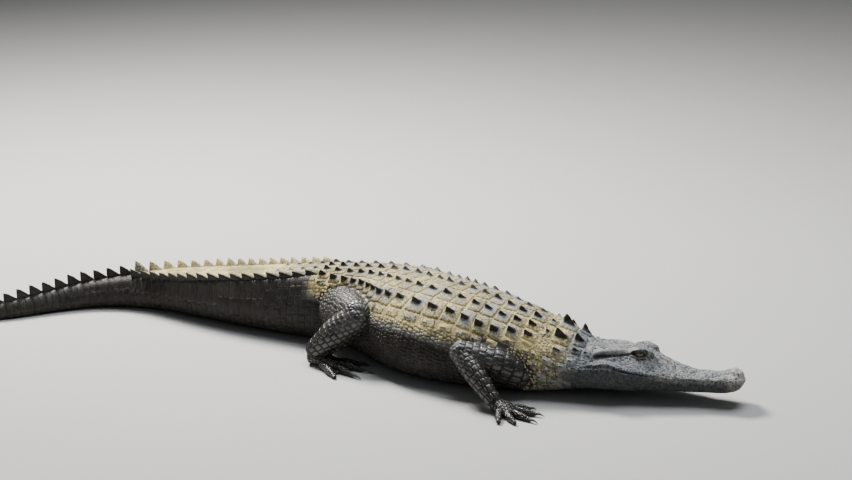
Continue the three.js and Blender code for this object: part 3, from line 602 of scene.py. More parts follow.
def web_mesh(limb):
    """Thin sheets between the hind toes."""
    points, faces = [], []
    for a, b in zip(limb["toes"], limb["toes"][1:]):
        lengths = np.array([0.05, 0.3, 0.5, 0.62])
        edge_a, edge_b = (f.point(lengths, np.zeros(4)) * 0.5 + f.point(lengths, np.full(4, math.pi)) * 0.5
                          for f in (a, b))
        for k in range(3):
            quad = [edge_a[k], edge_a[k + 1], edge_b[k + 1], edge_b[k]]
            start = len(points)
            points += [(p[0], p[1], 2.0) for p in quad] + [(p[0], p[1], 8.5) for p in quad]
            faces += [(0, 1, 2, 3), (7, 6, 5, 4), (0, 4, 5, 1), (1, 5, 6, 2), (2, 6, 7, 3), (3, 7, 4, 0)]
            faces[-6:] = [tuple(start + i for i in f) for f in faces[-6:]]
    return np.array(points), faces


# Voxels of a leg's own mesh and the reach of the eased seam, in metres, and how strongly each is eased.
LEG_VOXEL, LEG_EASE, LEG_EASINGS = 0.0042, 0.5, 4
SEAM_REACH, SEAM_EASE, SEAM_EASINGS = 0.04, 0.6, 9


def limb_skin(name, limb):
    """A leg as one smooth closed skin."""
    meshes = [part.mesh() for part in limb["parts"]] + [toe.mesh(14, 16) for toe in limb["toes"]]
    if name.startswith("hind"):
        meshes.append(web_mesh(limb))
    obj = new_object("skin_" + name, *merge(meshes))
    bpy.context.view_layer.objects.active = obj
    remesh = obj.modifiers.new("whole", "REMESH")
    remesh.mode, remesh.voxel_size = "VOXEL", LEG_VOXEL
    ease = obj.modifiers.new("ease", "SMOOTH")
    ease.factor, ease.iterations = LEG_EASE, LEG_EASINGS
    bake_down(obj)
    return obj


def bake_down(obj):
    """Makes the object's modifiers part of its mesh."""
    graph = bpy.context.evaluated_depsgraph_get()
    shown = bpy.data.meshes.new_from_object(obj.evaluated_get(graph))
    obj.modifiers.clear()
    obj.data = shown


def build_skin():
    """One skin for the body and legs, eased where they join.

    Also returns how near each vertex is to a join, and the body's own vertices, stations and shares.
    """
    body, stations, shares = body_skin()
    grid = vertices(body)[:len(stations)].copy()
    legs = [limb_skin(name, limb) for name, limb in LIMBS.items()]
    for leg in legs:
        join = body.modifiers.new(leg.name, "BOOLEAN")
        join.operation, join.solver, join.object = "UNION", "MANIFOLD", leg
    before = [vertices(body)] + [vertices(leg) for leg in legs]
    bake_down(body)
    for leg in legs:
        bpy.data.objects.remove(leg)
    old = KDTree(sum(len(b) for b in before))
    for k, co in enumerate(np.concatenate(before)):
        old.insert(co, k)
    old.balance()
    points = vertices(body)
    joint = [k for k, co in enumerate(points) if old.find(co)[2] > 2e-5]
    seam = KDTree(len(joint))
    for k in joint:
        seam.insert(points[k], k)
    seam.balance()
    weight = np.array([1 - min(seam.find(co)[2] / SEAM_REACH, 1) for co in points])
    edges = np.zeros(len(body.data.edges) * 2, int)
    body.data.edges.foreach_get("vertices", edges)
    edges = edges.reshape(-1, 2)
    degree = np.bincount(edges.ravel(), minlength=len(points))[:, None]
    for _ in range(SEAM_EASINGS):
        total = np.zeros_like(points)
        np.add.at(total, edges[:, 0], points[edges[:, 1]])
        np.add.at(total, edges[:, 1], points[edges[:, 0]])
        points += (total / np.maximum(degree, 1) - points) * (SEAM_EASE * smooth(weight, 0, 0.8))[:, None]
    points[:, 2] = np.maximum(points[:, 2], FLOOR_GAP)
    body.data.vertices.foreach_set("co", points.ravel())
    body.data.update()
    body.data.shade_smooth()
    return body, weight, (grid, stations, shares)


def vertices(obj):
    co = np.zeros(len(obj.data.vertices) * 3)
    obj.data.vertices.foreach_get("co", co)
    return co.reshape(-1, 3)


SKIN, SEAM_WEIGHT, BODY_GRID = build_skin()


# One scale, and many of them.
def ring_template(sides, rings, power=2.6):
    """A rounded scale as [x, y, height] and faces: a middle point, then rings of (radius, height).

    A height below 0 stands for the scale's root under the skin.
    """
    angle = np.arange(sides) / sides * 2 * math.pi + math.pi / sides
    bend = 2 / power
    cx = np.sign(np.cos(angle)) * np.abs(np.cos(angle)) ** bend
    cy = np.sign(np.sin(angle)) * np.abs(np.sin(angle)) ** bend
    points = [(0, 0, rings[0][1])]
    for radius, height in rings[1:]:
        points += [(radius * x, radius * y, height) for x, y in zip(cx, cy)]
    faces = []
    for k in range(sides):
        after = (k + 1) % sides
        faces.append((0, 1 + k, 1 + after, 1 + after))
        for ring in range(len(rings) - 2):
            a, b = 1 + ring * sides, 1 + (ring + 1) * sides
            faces.append((a + k, b + k, b + after, a + after))
    return np.array(points, float), faces


BEAD = ring_template(8, [(0, 1), (0.6, 0.86), (0.92, 0.35), (1.02, -1.0)])
PLATE = ring_template(12, [(0, 1), (0.5, 0.98), (0.84, 0.9), (0.96, 0.5), (1.0, -1.0)], 4.5)


def keeled_template(nx=13, ny=15):
    """A square plate whose x, y lie on a fine grid, with a skirt round its rim."""
    x, v = np.linspace(-1, 1, nx), np.linspace(-1, 1, ny)
    y = np.sign(v) * np.abs(v) ** 1.5
    xx, yy = np.meshgrid(x, y, indexing="ij")
    corner = 1 - 0.07 * (xx * yy) ** 2
    points = np.stack([xx * corner, yy * corner, np.zeros_like(xx)], -1).reshape(-1, 3)
    faces = [tuple(f) for f in grid_faces(nx, ny, close=False)]
    rim = ([k for k in range(ny)] + [k * ny + ny - 1 for k in range(1, nx)]
           + [(nx - 1) * ny + k for k in range(ny - 2, -1, -1)] + [k * ny for k in range(nx - 2, 0, -1)])
    start = len(points)
    skirt = points[rim] * [1.02, 1.02, 0] + [0, 0, -9]
    for k in range(len(rim)):
        after = (k + 1) % len(rim)
        faces.append((rim[k], rim[after], start + after, start + k))
    return np.concatenate([points, skirt]), faces


KEELED = keeled_template()


def unwrap(station, around):
    """The skin's own unrolled shape, as a map."""
    return np.stack([0.01 + station / MAP_SPAN, 0.3 + around / MAP_SPAN], -1)


def join_scales(points, faces, many):
    """Faces of one scale repeated for many, as triangles and quads."""
    block = np.array(faces)
    out = (block[None] + (np.arange(many) * points)[:, None, None]).reshape(-1, 4)
    if (block[:, 2] == block[:, 3]).any():
        flat = np.tile(block[:, 2] == block[:, 3], many)
        return [tuple(f[:3]) for f in out[flat].tolist()] + [tuple(f) for f in out[~flat].tolist()]
    return out.tolist()


class Coat:
    """Scales gathered into one mesh."""

    def __init__(self):
        self.points, self.faces, self.uv, self.marks, self.count = [], [], [], [], 0

    def add(self, points, faces, uv, marks):
        many, each = points.shape[:2]
        self.faces += [tuple(self.count + i for i in f) for f in join_scales(each, faces, many)]
        self.points.append(points.reshape(-1, 3))
        self.uv.append(uv.reshape(-1, 2))
        self.marks.append(marks.reshape(-1, marks.shape[-1]))
        self.count += many * each

    def build(self, name):
        return new_object(name, np.concatenate(self.points), self.faces, np.concatenate(self.uv),
                          np.concatenate(self.marks))


def arrays(*values):
    return [np.asarray(v, float) for v in np.broadcast_arrays(*values)]


def body_scales(coat, template, station, around, length, width, height, marking, swing=0.0, root=1.0,
                rise=None):
    """Sets scales on the body at stations and signed distances round it, turned by swing.

    root deepens the part under the skin, and rise adds a keel's height over the template.
    """
    if len(station) == 0:
        return
    station, around, length, width, height, swing = arrays(station, around, length, width, height, swing)
    base, faces = template
    wobble = 1 + draw.normal(0, 0.035, (len(station), len(base)))
    x = base[None, :, 0] * length[:, None] / 2 * wobble
    y = base[None, :, 1] * width[:, None] / 2 * wobble
    c, d = np.cos(swing)[:, None], np.sin(swing)[:, None]
    s = np.clip(station[:, None] + x * c - y * d, 1, TOTAL_LENGTH - 1)
    a = around[:, None] + x * d + y * c
    level = base[None, :, 2]
    lift = np.where(level < 0, level * root * 2.2, level * height[:, None])
    if rise is not None:
        lift = lift + rise(base)[None] * height[:, None]
    share = np.clip(a / half_girth(s), -1.02, 1.02)
    share = np.where(share > 1, share - 2, np.where(share < -1, share + 2, share))
    points = skin_point(s, share, lift)
    patch = unwrap(station, around)[:, None, :] + base[None, :, :2] * PATCH_HALF
    tone = np.repeat(draw.uniform(0, 1, (len(station), 1)), len(base), 1)
    marks = marking(s, share, tone, lift)
    coat.add(points, faces, patch, marks)


def limb_scales(coat, template, limb, t, angle, length, width, height, marking, home, root=1.0):
    """Sets scales on a limb at shares of its length and angles round it."""
    if len(t) == 0:
        return
    t, angle, length, width, height = arrays(t, angle, length, width, height)
    base, faces = template
    girth, _ = catmull(np.broadcast_to(limb.girth, t.shape + limb.girth.shape), np.clip(t, 0, 1), False)
    radius = girth.mean(-1)
    wobble = 1 + draw.normal(0, 0.04, (len(t), len(base)))
    tt = t[:, None] + base[None, :, 0] * (length / 2 / limb.length)[:, None] * wobble
    aa = angle[:, None] + base[None, :, 1] * (width / 2 / radius)[:, None] * wobble
    level = base[None, :, 2]
    lift = np.where(level < 0, level * root * 2.4, level * height[:, None]) - 0.8
    points = limb.point(tt, aa, lift)
    roots = np.array(home) + np.stack([t * limb.length, angle * radius], -1) / MAP_SPAN
    patch = roots[:, None, :] + base[None, :, :2] * PATCH_HALF
    tone = np.repeat(draw.uniform(0, 1, (len(t), 1)), len(base), 1)
    marks = marking(points, tone, lift)
    coat.add(points, faces, patch, marks)


# Markings, the same for skin and scales.
# How far each of the tail's paired crests stands from the middle line.
crest_out = profile([1560, 72], [1650, 84], [1850, 94], [2050, 90], [2200, 66], [2300, 34], [2360, 13])
# The share of the half girth below which the trunk is dark: damp hide, with painted shade on the lower flank.
WET_AND_SHADE_EDGE = ([500, 640, 700, 790, 1000, 1200, 1400, 1560], [0.80, 0.74, 0.60, 0.45, 0.39, 0.395, 0.43, 0.36])


def body_marks(station, share, tone=0.5, lift=0.0):
    """Shares of yellow dust, dark hide (damp, with painted shade), blue grey head and lightness for places on
    the body.

    lift is here only so that every marking is called alike.
    """
    s, f = np.broadcast_arrays(np.asarray(station, float), np.abs(share))
    arc = f * half_girth(s)
    tail = smooth(s, 1545, 1625)
    head = smooth(s, 590, 505)
    # The trunk is dusty above and dark below, partly from damp hide and partly from painted shade; the tail
    # is dusty between its crests only, and its sides are dark, partly their own colour and partly painted
    # shade.
    wet_and_shade_from = np.interp(s, *WET_AND_SHADE_EDGE)
    trunk_dust = smooth(f, wet_and_shade_from + 0.04, wet_and_shade_from - 0.03) * smooth(s, 520, 590)
    trunk_dust *= 1 - 0.5 * smooth(f, 0.36, 0.5) * smooth(s, 740, 660)
    top = smooth(arc, crest_out(s) + 5, crest_out(s) - 9)
    top = np.where(s > 2330, bump(arc, 0, 6), top) * smooth(s, 2700, 2200)
    dust = trunk_dust * (1 - tail) + top * tail
    dark = smooth(f, wet_and_shade_from - 0.02, wet_and_shade_from + 0.07) * (1 - 0.55 * head) * (1 - tail)
    dark = dark + tail * (1 - top) * (0.80 + 0.14 * smooth(f, 0.3, 0.7))
    pale = np.maximum(smooth(s, 66, 30), 0.42 * smooth(s, 330, 270) * smooth(f, 0.62, 0.5))
    pale = np.maximum(pale, 0.40 * smooth(f, 0.42, 0.30))
    dust = np.maximum(dust, pale * smooth(s, 540, 500))
    # On the head: painted shade along the mouth's line, in the ear's slit, under the upper lid at the lids'
    # rims and in the creases by the eye; the lids' rims are dark in their own right too, and the lower jaw is
    # darker below the mouth's line.
    near = s < 560
    if near.any():
        y, z, ny, nz = core(s[near], f[near])
        off = relief(s[near], f[near])
        fall = z + nz * off * smooth(s[near], 350, 385) - mouth_line(s[near])
        line = bump(fall, -0.6, 2.2 + 2.8 * smooth(s[near], 350, 390)) * smooth(s[near], 500, 480)
        slit = ear_slit(s[near], z + nz * off - ear_height(s[near])) * smooth(y + ny * off, 54, 60)
        lids = bump(almond(s[near], z + nz * off), 0.0, 2.4) * smooth(y + ny * off, 54, 60)
        lower = smooth(fall, 0, -14)
        beyond = smooth(y + ny * off, 50, 60)
        lines = [beyond * bump(to_line(s[near], z + nz * off, *crease), 0, 2.0) for crease, _ in CREASES]
        lids = np.maximum(lids, 0.8 * np.maximum.reduce(lines))
        dark[near] = np.maximum.reduce([dark[near], 0.9 * line, 0.97 * slit, 0.9 * lids, 0.55 * lower])
    return np.stack([dust, dark, head, tone * np.ones_like(s)], -1)


def bead_marks(station, share, tone, lift):
    """Small scales: dusty tops, with painted shade in the seams between them."""
    marks = body_marks(station, share, tone, lift)
    marks[..., 0] *= 0.25 + 0.75 * tone
    # Painted shade in the seams between the scales, off the head.
    seam = smooth(lift, 1.2, 0.2) * (1 - marks[..., 2])
    marks[..., 1] = np.maximum(marks[..., 1], 0.55 * seam)
    return marks


def tail_marks(station, share, tone, lift):
    """The tail's plates, with thin light edges."""
    marks = body_marks(station, share, tone, lift)
    marks[..., 1] -= 0.22 * bump(lift, 0.8, 0.35) * smooth(marks[..., 1], 0.5, 0.8)
    return marks


def plate_marks(station, share, tone, lift):
    """Raised plates: clean grey on top, with painted shade on their tall keels."""
    marks = body_marks(station, share, tone, lift)
    high = smooth(lift, 1.0, 3.0)
    marks[..., 0] *= 1 - high * (0.45 + 0.5 * tone)
    marks[..., 1] *= 1 - 0.5 * high
    # Painted shade on the keels.
    marks[..., 1] = np.maximum(marks[..., 1], 0.97 * smooth(lift, 4.6, 8.0))
    return marks


def limb_marks(points, tone, lift):
    """A leg's dark damp hide, with a little dust and painted sheen on its upper parts, and a painted
    highlight along the seams between plates there.
    """
    shape = points.shape[:-1]
    # Higher up the hide is lighter with painted sheen, most of all in the seams between plates, as a painted
    # highlight.
    high = smooth(points[..., 2], 85, 170)
    seam = smooth(lift, 0.9, -0.2)
    wet_and_painted_light = 0.97 - 0.16 * high * (0.4 + tone) - 0.22 * high * seam
    return np.stack([0.08 * high, wet_and_painted_light, np.zeros(shape), tone * np.ones(shape)], -1)


# The shield, the neck plates and the tail's crests.
ROW_PITCH = 51
SHIELD_ROWS = 18
FIRST_ROW = TRUNK_END - SHIELD_ROWS * ROW_PITCH
column_width = profile([650, 46], [700, 54], [750, 70], [850, 84], [1000, 88], [1100, 88], [1200, 80],
                       [1300, 60], [1450, 44], [1570, 38])
# How far the shield's middle line lies over to the animal's right.
lean = profile([480, 0], [540, 25], [600, 45], [700, 55], [750, 50], [850, 30], [950, 16], [1050, 18],
               [1150, 30], [1250, 38], [1350, 42], [1450, 36], [1568, 14], [1700, 0], [3200, 0])
# The edge column's share of a plate's width, and the keels of the three columns from the middle out.
EDGE_COLUMN = 0.42
KEEL_HEIGHTS = (18, 22, 7)
FAR_KEEL = 0.62
PLATE_THICK = 3.6
PLATE_GAP, EDGE_GAP = 4.0, 14.0


def keel_rise(keel, sharp=0.20, front=-0.62, peak=0.5, back=0.86):
    """The height of a narrow keel over a plate, in plate thicknesses."""
    def rise(base):
        x, y, z = base.T
        climb = np.where(x < peak, smooth(x, front, peak) ** 0.8, 1 - smooth(x, peak, back) ** 1.4)
        blade = np.exp(-(np.abs(y) / (sharp * (1.15 - 0.5 * climb))) ** 1.5)
        rim = 1 - smooth(np.maximum(np.abs(x), np.abs(y)), 0.84, 1.0)
        flat = np.where(z < 0, 0.0, 0.35 + 0.65 * rim)
        return flat + np.where(z < 0, 0.0, keel * climb * blade)
    return rise


def thigh_clear(station, around, grow):
    """Which places on the body lie clear of the legs' first parts, the thighs and upper arms."""
    points = skin_point(station, around / half_girth(station), 6.0)
    clear = np.ones(len(station), bool)
    for limb in LIMBS.values():
        for part in limb["parts"][:1]:
            clear &= ~part.inside(points, grow)
    return clear


def shield_coat():
    """The rows of keeled plates over the trunk, with low keeled ovals along their edge."""
    coat = Coat()
    for row in range(SHIELD_ROWS):
        front = FIRST_ROW + row * ROW_PITCH
        wide, middle = float(column_width(front)), float(lean(front))
        for side in (1, -1):
            for column, keel in enumerate(KEEL_HEIGHTS):
                own = wide * (EDGE_COLUMN if column == 2 else 1)
                around = middle + side * (wide * column + 1 + own / 2 + draw.normal(0, 0.8))
                station = front + ROW_PITCH / 2 + draw.normal(0, 1.0)
                if not thigh_clear(np.array([station]), np.array([around]), -8)[0]:
                    continue
                keel = keel * draw.uniform(0.88, 1.12) * (1 if side > 0 or column == 0 else FAR_KEEL)
                ridge = keel_rise(keel / PLATE_THICK, draw.uniform(9, 11) / own * 2)
                if column < 2:
                    body_scales(coat, KEELED, [station], [around], ROW_PITCH - PLATE_GAP, own - 4.5,
                                PLATE_THICK, plate_marks, draw.normal(0, 0.03), 1, ridge)
                else:
                    body_scales(coat, KEELED, [station], [around], ROW_PITCH - EDGE_GAP, own - 9, 2.4,
                                bead_marks, draw.normal(0, 0.12), 1, ridge)
    return coat


# Neck plates as (front, length, inner edge, width, keel).
NECK_SCUTES = (
    (556, 56, 5, 72, 32), (510, 42, 12, 62, 26), (566, 34, 82, 32, 14), (516, 30, 80, 30, 11),
    (615, 22, 8, 40, 10),
)
# Small keels beside them, as (station, distance out).
NECK_KEELS = ((500, 100), (538, 132), (560, 150), (604, 136), (600, 168), (632, 160),
              (524, 158), (566, 182), (616, 194), (584, 206), (548, 212), (640, 128))
NECK_THICK = 4.0


def neck_coat():
    """The big keeled plates behind the skull, with small keels beside them."""
    coat = Coat()
    for front, length, inner, width, keel in NECK_SCUTES:
        for side in (1, -1):
            around = float(lean(front)) + side * (inner + width / 2)
            body_scales(coat, KEELED, [front + length / 2], [around], length, width, NECK_THICK,
                        plate_marks, draw.normal(0, 0.05), 1.4,
                        keel_rise(keel * draw.uniform(0.92, 1.05) / NECK_THICK, 0.24, -0.8, 0.42, 0.88))
    for side in (1, -1):
        for station, around in NECK_KEELS:
            spot = float(lean(station)) + side * around
            body_scales(coat, KEELED, [station], [spot], draw.uniform(24, 30), draw.uniform(22, 27), 2.6,
                        plate_marks, draw.normal(0, 0.1), 1, keel_rise(draw.uniform(2.2, 3.2), 0.34))
    return coat


# The tail's rings of plates, with two crests on the front ones and one on the rest.
WHORL_PITCH = 47
DOUBLE_WHORLS = 17
SINGLE_WHORLS = 16
DOUBLE_END = TRUNK_END + DOUBLE_WHORLS * WHORL_PITCH
SINGLE_PITCH = (TOTAL_LENGTH - 60 - DOUBLE_END) / SINGLE_WHORLS
crest_height = profile([1560, 18], [1700, 22], [1900, 27], [2150, 34], [2360, 40], [2600, 42], [2850, 36],
                       [3050, 24], [3150, 13])
crest_thick = profile([1560, 26], [1750, 20], [2000, 14], [2400, 11], [3150, 5])
WHORLS = [(TRUNK_END + k * WHORL_PITCH, WHORL_PITCH) for k in range(DOUBLE_WHORLS)] \
    + [(DOUBLE_END + k * SINGLE_PITCH, SINGLE_PITCH) for k in range(SINGLE_WHORLS)]


def fin_grid(nx=15, nq=15):
    """Points of an upright blade as x along it and q from one foot over its edge to the other."""
    x = np.linspace(-1, 1, nx)
    q = np.linspace(-1, 1, nq)
    xx, qq = np.meshgrid(x, q, indexing="ij")
    faces = [tuple(f) for f in grid_faces(nx, nq, close=False)]
    return xx.ravel(), qq.ravel(), faces


FIN = fin_grid()


def crest_coat():
    """The tail's saw-toothed crests, each tooth low in front with its peak swept back."""
    coat = Coat()
    x, q, faces = FIN
    for number, (front, pitch) in enumerate(WHORLS):
        double = number < DOUBLE_WHORLS
        for side in (1, -1) if double else (1,):
            length = pitch - 2
            height = float(crest_height(front)) * draw.uniform(0.94, 1.07)
            half = float(crest_thick(front)) * 0.62
            around = side * float(crest_out(front)) if double else 0.0
            edge = np.where(x < 0.72, 0.16 + 0.84 * smooth(x, -1.15, 0.80), 1 - 0.75 * smooth(x, 0.72, 1.0))
            edge = np.minimum(edge, 1.0) * (1 + 0.02 * np.sin(9 * x + number))
            up = 1 - np.abs(q) ** 1.9
            station = front + 1 + (x + 1) / 2 * length + 0.20 * length * up * edge * smooth(x, -0.8, 0.7)
            across = np.sign(q) * np.abs(q) ** 0.85 * half * (1 - 0.25 * smooth(x, 0.3, 1))
            share = (around + across) / half_girth(station)
            foot = skin_point(station, share, -5.0 * np.abs(q) ** 6)
            aside = place(station, 1.0, 0.0) - place(station, 0.0, 0.0)
            splay = side * 0.42 if double else 0.0
            points = foot + aside * (splay * up * edge * height)[:, None]
            points[:, 2] += up * edge * height
            tone = draw.uniform(0, 1)
            marks = body_marks(station, share, tone, up * height)
            rim = smooth(up, 0.9, 0.99)
            # The near crest, and the single crest behind, are dark with painted shade; the far crest is paler
            # and dustier with painted light; all are paler along their top edges.
            marks[:, 0] = (0.55 if side < 0 else 0.1) * smooth(station, 2500, 2200) + 0.3 * rim
            marks[:, 1] = (0.2 if side < 0 and double else 0.9) - 0.5 * rim
            patch = unwrap(np.full(len(x), front + pitch / 2), np.full(len(x), around))
            patch = patch + np.stack([x, q], -1) * PATCH_HALF
            coat.add(points[None], faces, patch[None], marks[None])
    return coat


# Tail plates: the gap between them, and where the belly's side of a whorl begins, from its middle.
WHORL_GAP = 1.6
UNDERSIDE_SHARE, UNDERSIDE_MOST = 0.36, 74
# The first whorls carry small keels between the crests.
KEELED_WHORLS = 4


def tail_coat():
    """The rings of flat plates round the tail, with small keels between the crests near its root."""
    coat = Coat()
    for number, (front, pitch) in enumerate(WHORLS):
        middle = front + pitch / 2
        end = float(half_girth(middle))
        double = number < DOUBLE_WHORLS
        out = float(crest_out(front)) if double else 0.0
        foot = out + float(crest_thick(front)) * 0.5
        room = end - foot
        under = min(UNDERSIDE_SHARE * room, UNDERSIDE_MOST)
        tall = float(np.interp(front, [1568, 1680, 1760, 3200], [30, 36, 74, 60]))
        sides = max(1, int(round((room - under) / tall)))
        edges = list(np.linspace(foot, end - under, sides + 1))
        low = max(1, int(round(under / 34)))
        edges += list(np.linspace(end - under, end, low + 1))[1:]
        for side in (1, -1):
            for inner, outer in zip(edges, edges[1:]):
                wide = outer - inner
                if wide < 7:
                    continue
                for share in (0.25, 0.75):
                    body_scales(coat, PLATE, [front + share * pitch + draw.normal(0, 0.6)],
                                [side * (inner + outer) / 2], pitch / 2 - WHORL_GAP, wide - WHORL_GAP,
                                draw.uniform(1.4, 2.2) * min(1, wide / 20), tail_marks,
                                draw.normal(0, 0.015))
            if double and out > 15:
                spot = [side * out * 0.42]
                if number < KEELED_WHORLS:
                    body_scales(coat, KEELED, [middle], spot, pitch - PLATE_GAP, out * 0.62, 2.6,
                                plate_marks, 0, 1, keel_rise((11 - number) / 2.6, 0.26))
                else:
                    body_scales(coat, PLATE, [middle], spot, pitch - PLATE_GAP, out * 0.66, 1.8,
                                body_marks)
    return coat


def between(low, high, pitch, jitter=0.0):
    """Evenly spaced places from low to high, about pitch apart."""
    count = max(1, int(round((high - low) / pitch)))
    places = low + (np.arange(count) + 0.5) * (high - low) / count
    return places + draw.normal(0, 1, count) * jitter


# How far apart the cross rows of scales lie, and how wide the belly's plates are.
FLANK_PITCH = 10.2
BELLY_PITCH, BELLY_WIDTH = 27.0, 31
HEAD_PITCH = 9.5


def flank_coat(side):
    """Rounded scales on the sides of the neck and trunk, large ones in cross rows among small ones."""
    coat = Coat()
    for k, station in enumerate(np.arange(506, TRUNK_END - 4, FLANK_PITCH)):
        end = float(half_girth(station))
        if station < FIRST_ROW:
            start = float(np.interp(station, [506, 604, 612, FIRST_ROW], [78, 80, 4, 4]))
        else:
            start = float(column_width(station)) * (2 + EDGE_COLUMN) - 2
        start += side * float(lean(station))
        stop = end * float(np.interp(station, [506, 620, 1500, 1568], [0.74, 0.76, 0.78, 0.7]))
        big = k % 2 == 0
        pitch = 13.0 if big else 10.4
        around = between(start, stop, pitch, 1.3) + (0 if k % 4 < 2 else pitch / 3)
        many = len(around)
        size = draw.uniform(0.74, 1.14, many) * (1.0 if big else 0.76)
        stations = station + draw.normal(0, 1.5, many) + 6 * np.sin(around / 31 + k * 0.7) * 0.4
        high = float(np.interp(station, [600, 760], [1.7, 2.6]))
        body_scales(coat, BEAD, stations, side * around, 12.6 * size, 11.6 * size, high * size, bead_marks,
                    draw.normal(0, 0.3, many))
    return coat


def belly_coat():
    """Flat oblong plates in cross rows under the neck and trunk."""
    coat = Coat()
    for station in np.arange(518, TRUNK_END - 10, BELLY_PITCH):
        end = float(half_girth(station))
        stop = end * float(np.interp(station, [518, 620, 1500, 1568], [0.745, 0.765, 0.785, 0.705]))
        for side in (1, -1):
            around = between(stop, end, BELLY_WIDTH)
            pitch = (end - stop) / len(around)
            body_scales(coat, PLATE, station + draw.normal(0, 0.8, len(around)), side * around,
                        BELLY_PITCH - 1.8, pitch - 1.8, 1.7, bead_marks, draw.normal(0, 0.02, len(around)))
    return coat


def head_coat():
    """Low irregular plates over the skull and snout, lip scales, cheek pebbles and jaw plates."""
    coat = Coat()
    fine = np.linspace(0, 1, 400)
    spots = []
    for k, station in enumerate(np.arange(12, 508, HEAD_PITCH)):
        end = float(half_girth(station))
        y, z, _, _ = core(np.full_like(fine, station), fine)
        lip = float(np.interp(-mouth_line(station), -z, fine)) * end
        around = between(0 if k % 2 else 5, lip - 11, 10.5, 1.1)
        spots += [(station + draw.normal(0, 2.0), a + draw.normal(0, 1.2), *draw.uniform(8.5, 12.5, 2), 0.7)
                  for a in around]
        spots += [(station, lip - 6.0, 9.3, 9.0, 1.1), (station, lip + 8.5, 9.3, 10.0, 1.1)]
        spots += [(station + draw.normal(0, 1.2), a, 9.0, 12.2, 0.8) for a in between(lip + 15, end, 13)]
    spots = np.array(spots)
    share = spots[:, 1] / half_girth(spots[:, 0])
    y, z, ny, nz = core(spots[:, 0], share)
    off = relief(spots[:, 0], share)
    out, high = y + ny * off, z + nz * off
    # No scales lie on the lids, the ear's flap and slit, or round the nostrils.
    at = spots[:, 0]
    eye = (np.abs(at - EYE[0]) < 33) & (np.abs(high - 152) < 16) & (out > 50)
    ear = (at > 360) & (at < 480) & (np.abs(high - ear_height(at) - 8) < 15) & (out > 50)
    nose = (at < 40) & (y < 24) & (high > 104)
    keep = ~(eye | ear | nose)
    spots = spots[keep]
    cheek = smooth(spots[:, 0], 380, 430) * smooth(share[keep], 0.3, 0.4)
    size = draw.uniform(0.86, 1.08, len(spots))
    for side in (1, -1):
        body_scales(coat, BEAD, spots[:, 0], side * spots[:, 1], spots[:, 2] * size, spots[:, 3] * size,
                    spots[:, 4] * (1 + 0.8 * cheek), bead_marks, draw.normal(0, 0.25, len(spots)), 0.8)
    return coat


def lattice(limb, low, high, pitch_t, pitch_a, twist=0.0):
    """Staggered rows of places round a limb, each row turned on a little by twist."""
    t_all, a_all, w_all = [], [], []
    for k, t in enumerate(np.arange(low, high, pitch_t / limb.length)):
        girth, _ = catmull(limb.girth[None], np.array([np.clip(t, 0, 1)]), False)
        around = 2 * math.pi * float(girth.mean())
        count = max(5, int(round(around / pitch_a)))
        angle = (np.arange(count) + 0.5 * (k % 2) + twist * k) / count * 2 * math.pi
        t_all.append(t + draw.normal(0, 0.6, count) / limb.length)
        a_all.append(angle)
        w_all.append(np.full(count, around / count))
    return np.concatenate(t_all), np.concatenate(a_all), np.concatenate(w_all)


# Scales of a leg's three parts: where their rows begin and end along the part, and how far apart they lie.
HIND_ROWS = ((0.1, 1.15, 17), (-0.15, 0.98, 22), (0.0, 1.0, 12))
FORE_ROWS = ((0.2, 1.07, 27), (-0.09, 0.98, 22), (0.0, 1.0, 12))
LIMB_GAP = 1.6


def limb_coat(name, limb, home):
    """A leg's plates and its toes' beads, with home their corner of the map."""
    coat = Coat()
    hind = name.startswith("hind")
    for number, (part, (low, high, pitch)) in enumerate(zip(limb["parts"], HIND_ROWS if hind else FORE_ROWS)):
        t, angle, wide = lattice(part, low, high, pitch, pitch, 0.13)
        own = (home[0] + 0.09 * number, home[1])
        size = draw.uniform(0.92, 1.02, len(t))
        limb_scales(coat, PLATE, part, t, angle, (pitch - LIMB_GAP) * size, (wide - LIMB_GAP) * size, 2.1,
                    limb_marks, own)
    for number, toe in enumerate(limb["toes"]):
        t, angle, wide = lattice(toe, 0.05, 0.97, 8.5, 13)
        own = (home[0] + 0.28 + 0.02 * number, home[1])
        limb_scales(coat, BEAD, toe, t, angle, 8.0, wide - 1.0, 1.2, limb_marks, own, 0.6)
    return coat


# Eyes, teeth and claws.
def cone(foot, tip, radius, bend=0.0, sides=12, rings=7):
    """A curved pointed cone from its foot to its tip."""
    foot, tip = np.asarray(foot, float), np.asarray(tip, float)
    axis = tip - foot
    upright = abs(axis[2]) >= 0.9 * np.linalg.norm(axis)
    across = np.cross(axis, [1.0, 0, 0] if upright else [0, 0, 1.0])
    across /= np.linalg.norm(across)
    up = np.cross(across, axis) / np.linalg.norm(axis)
    angle = np.arange(sides) / sides * 2 * math.pi
    points = []
    for k in range(rings):
        u = k / rings
        middle = foot + axis * u + up * bend * math.sin(math.pi * u)
        size = radius * (1 - u) ** 0.75
        points += [middle + across * math.cos(a) * size + up * math.sin(a) * size for a in angle]
    points.append(tip)
    faces = [tuple(f) for f in grid_faces(rings, sides)]
    last = (rings - 1) * sides
    faces += [(last + k, len(points) - 1, last + (k + 1) % sides) for k in range(sides)]
    return np.array(points), faces


TOOTH_SHARE = 0.7
TOOTH_STATIONS = (18, 36, 54, 90, 118, 142, 172, 204, 232, 256)
tooth_size = profile([18, 3.2], [36, 4.3], [70, 3], [118, 4.3], [160, 3.2], [200, 3.8], [256, 3])


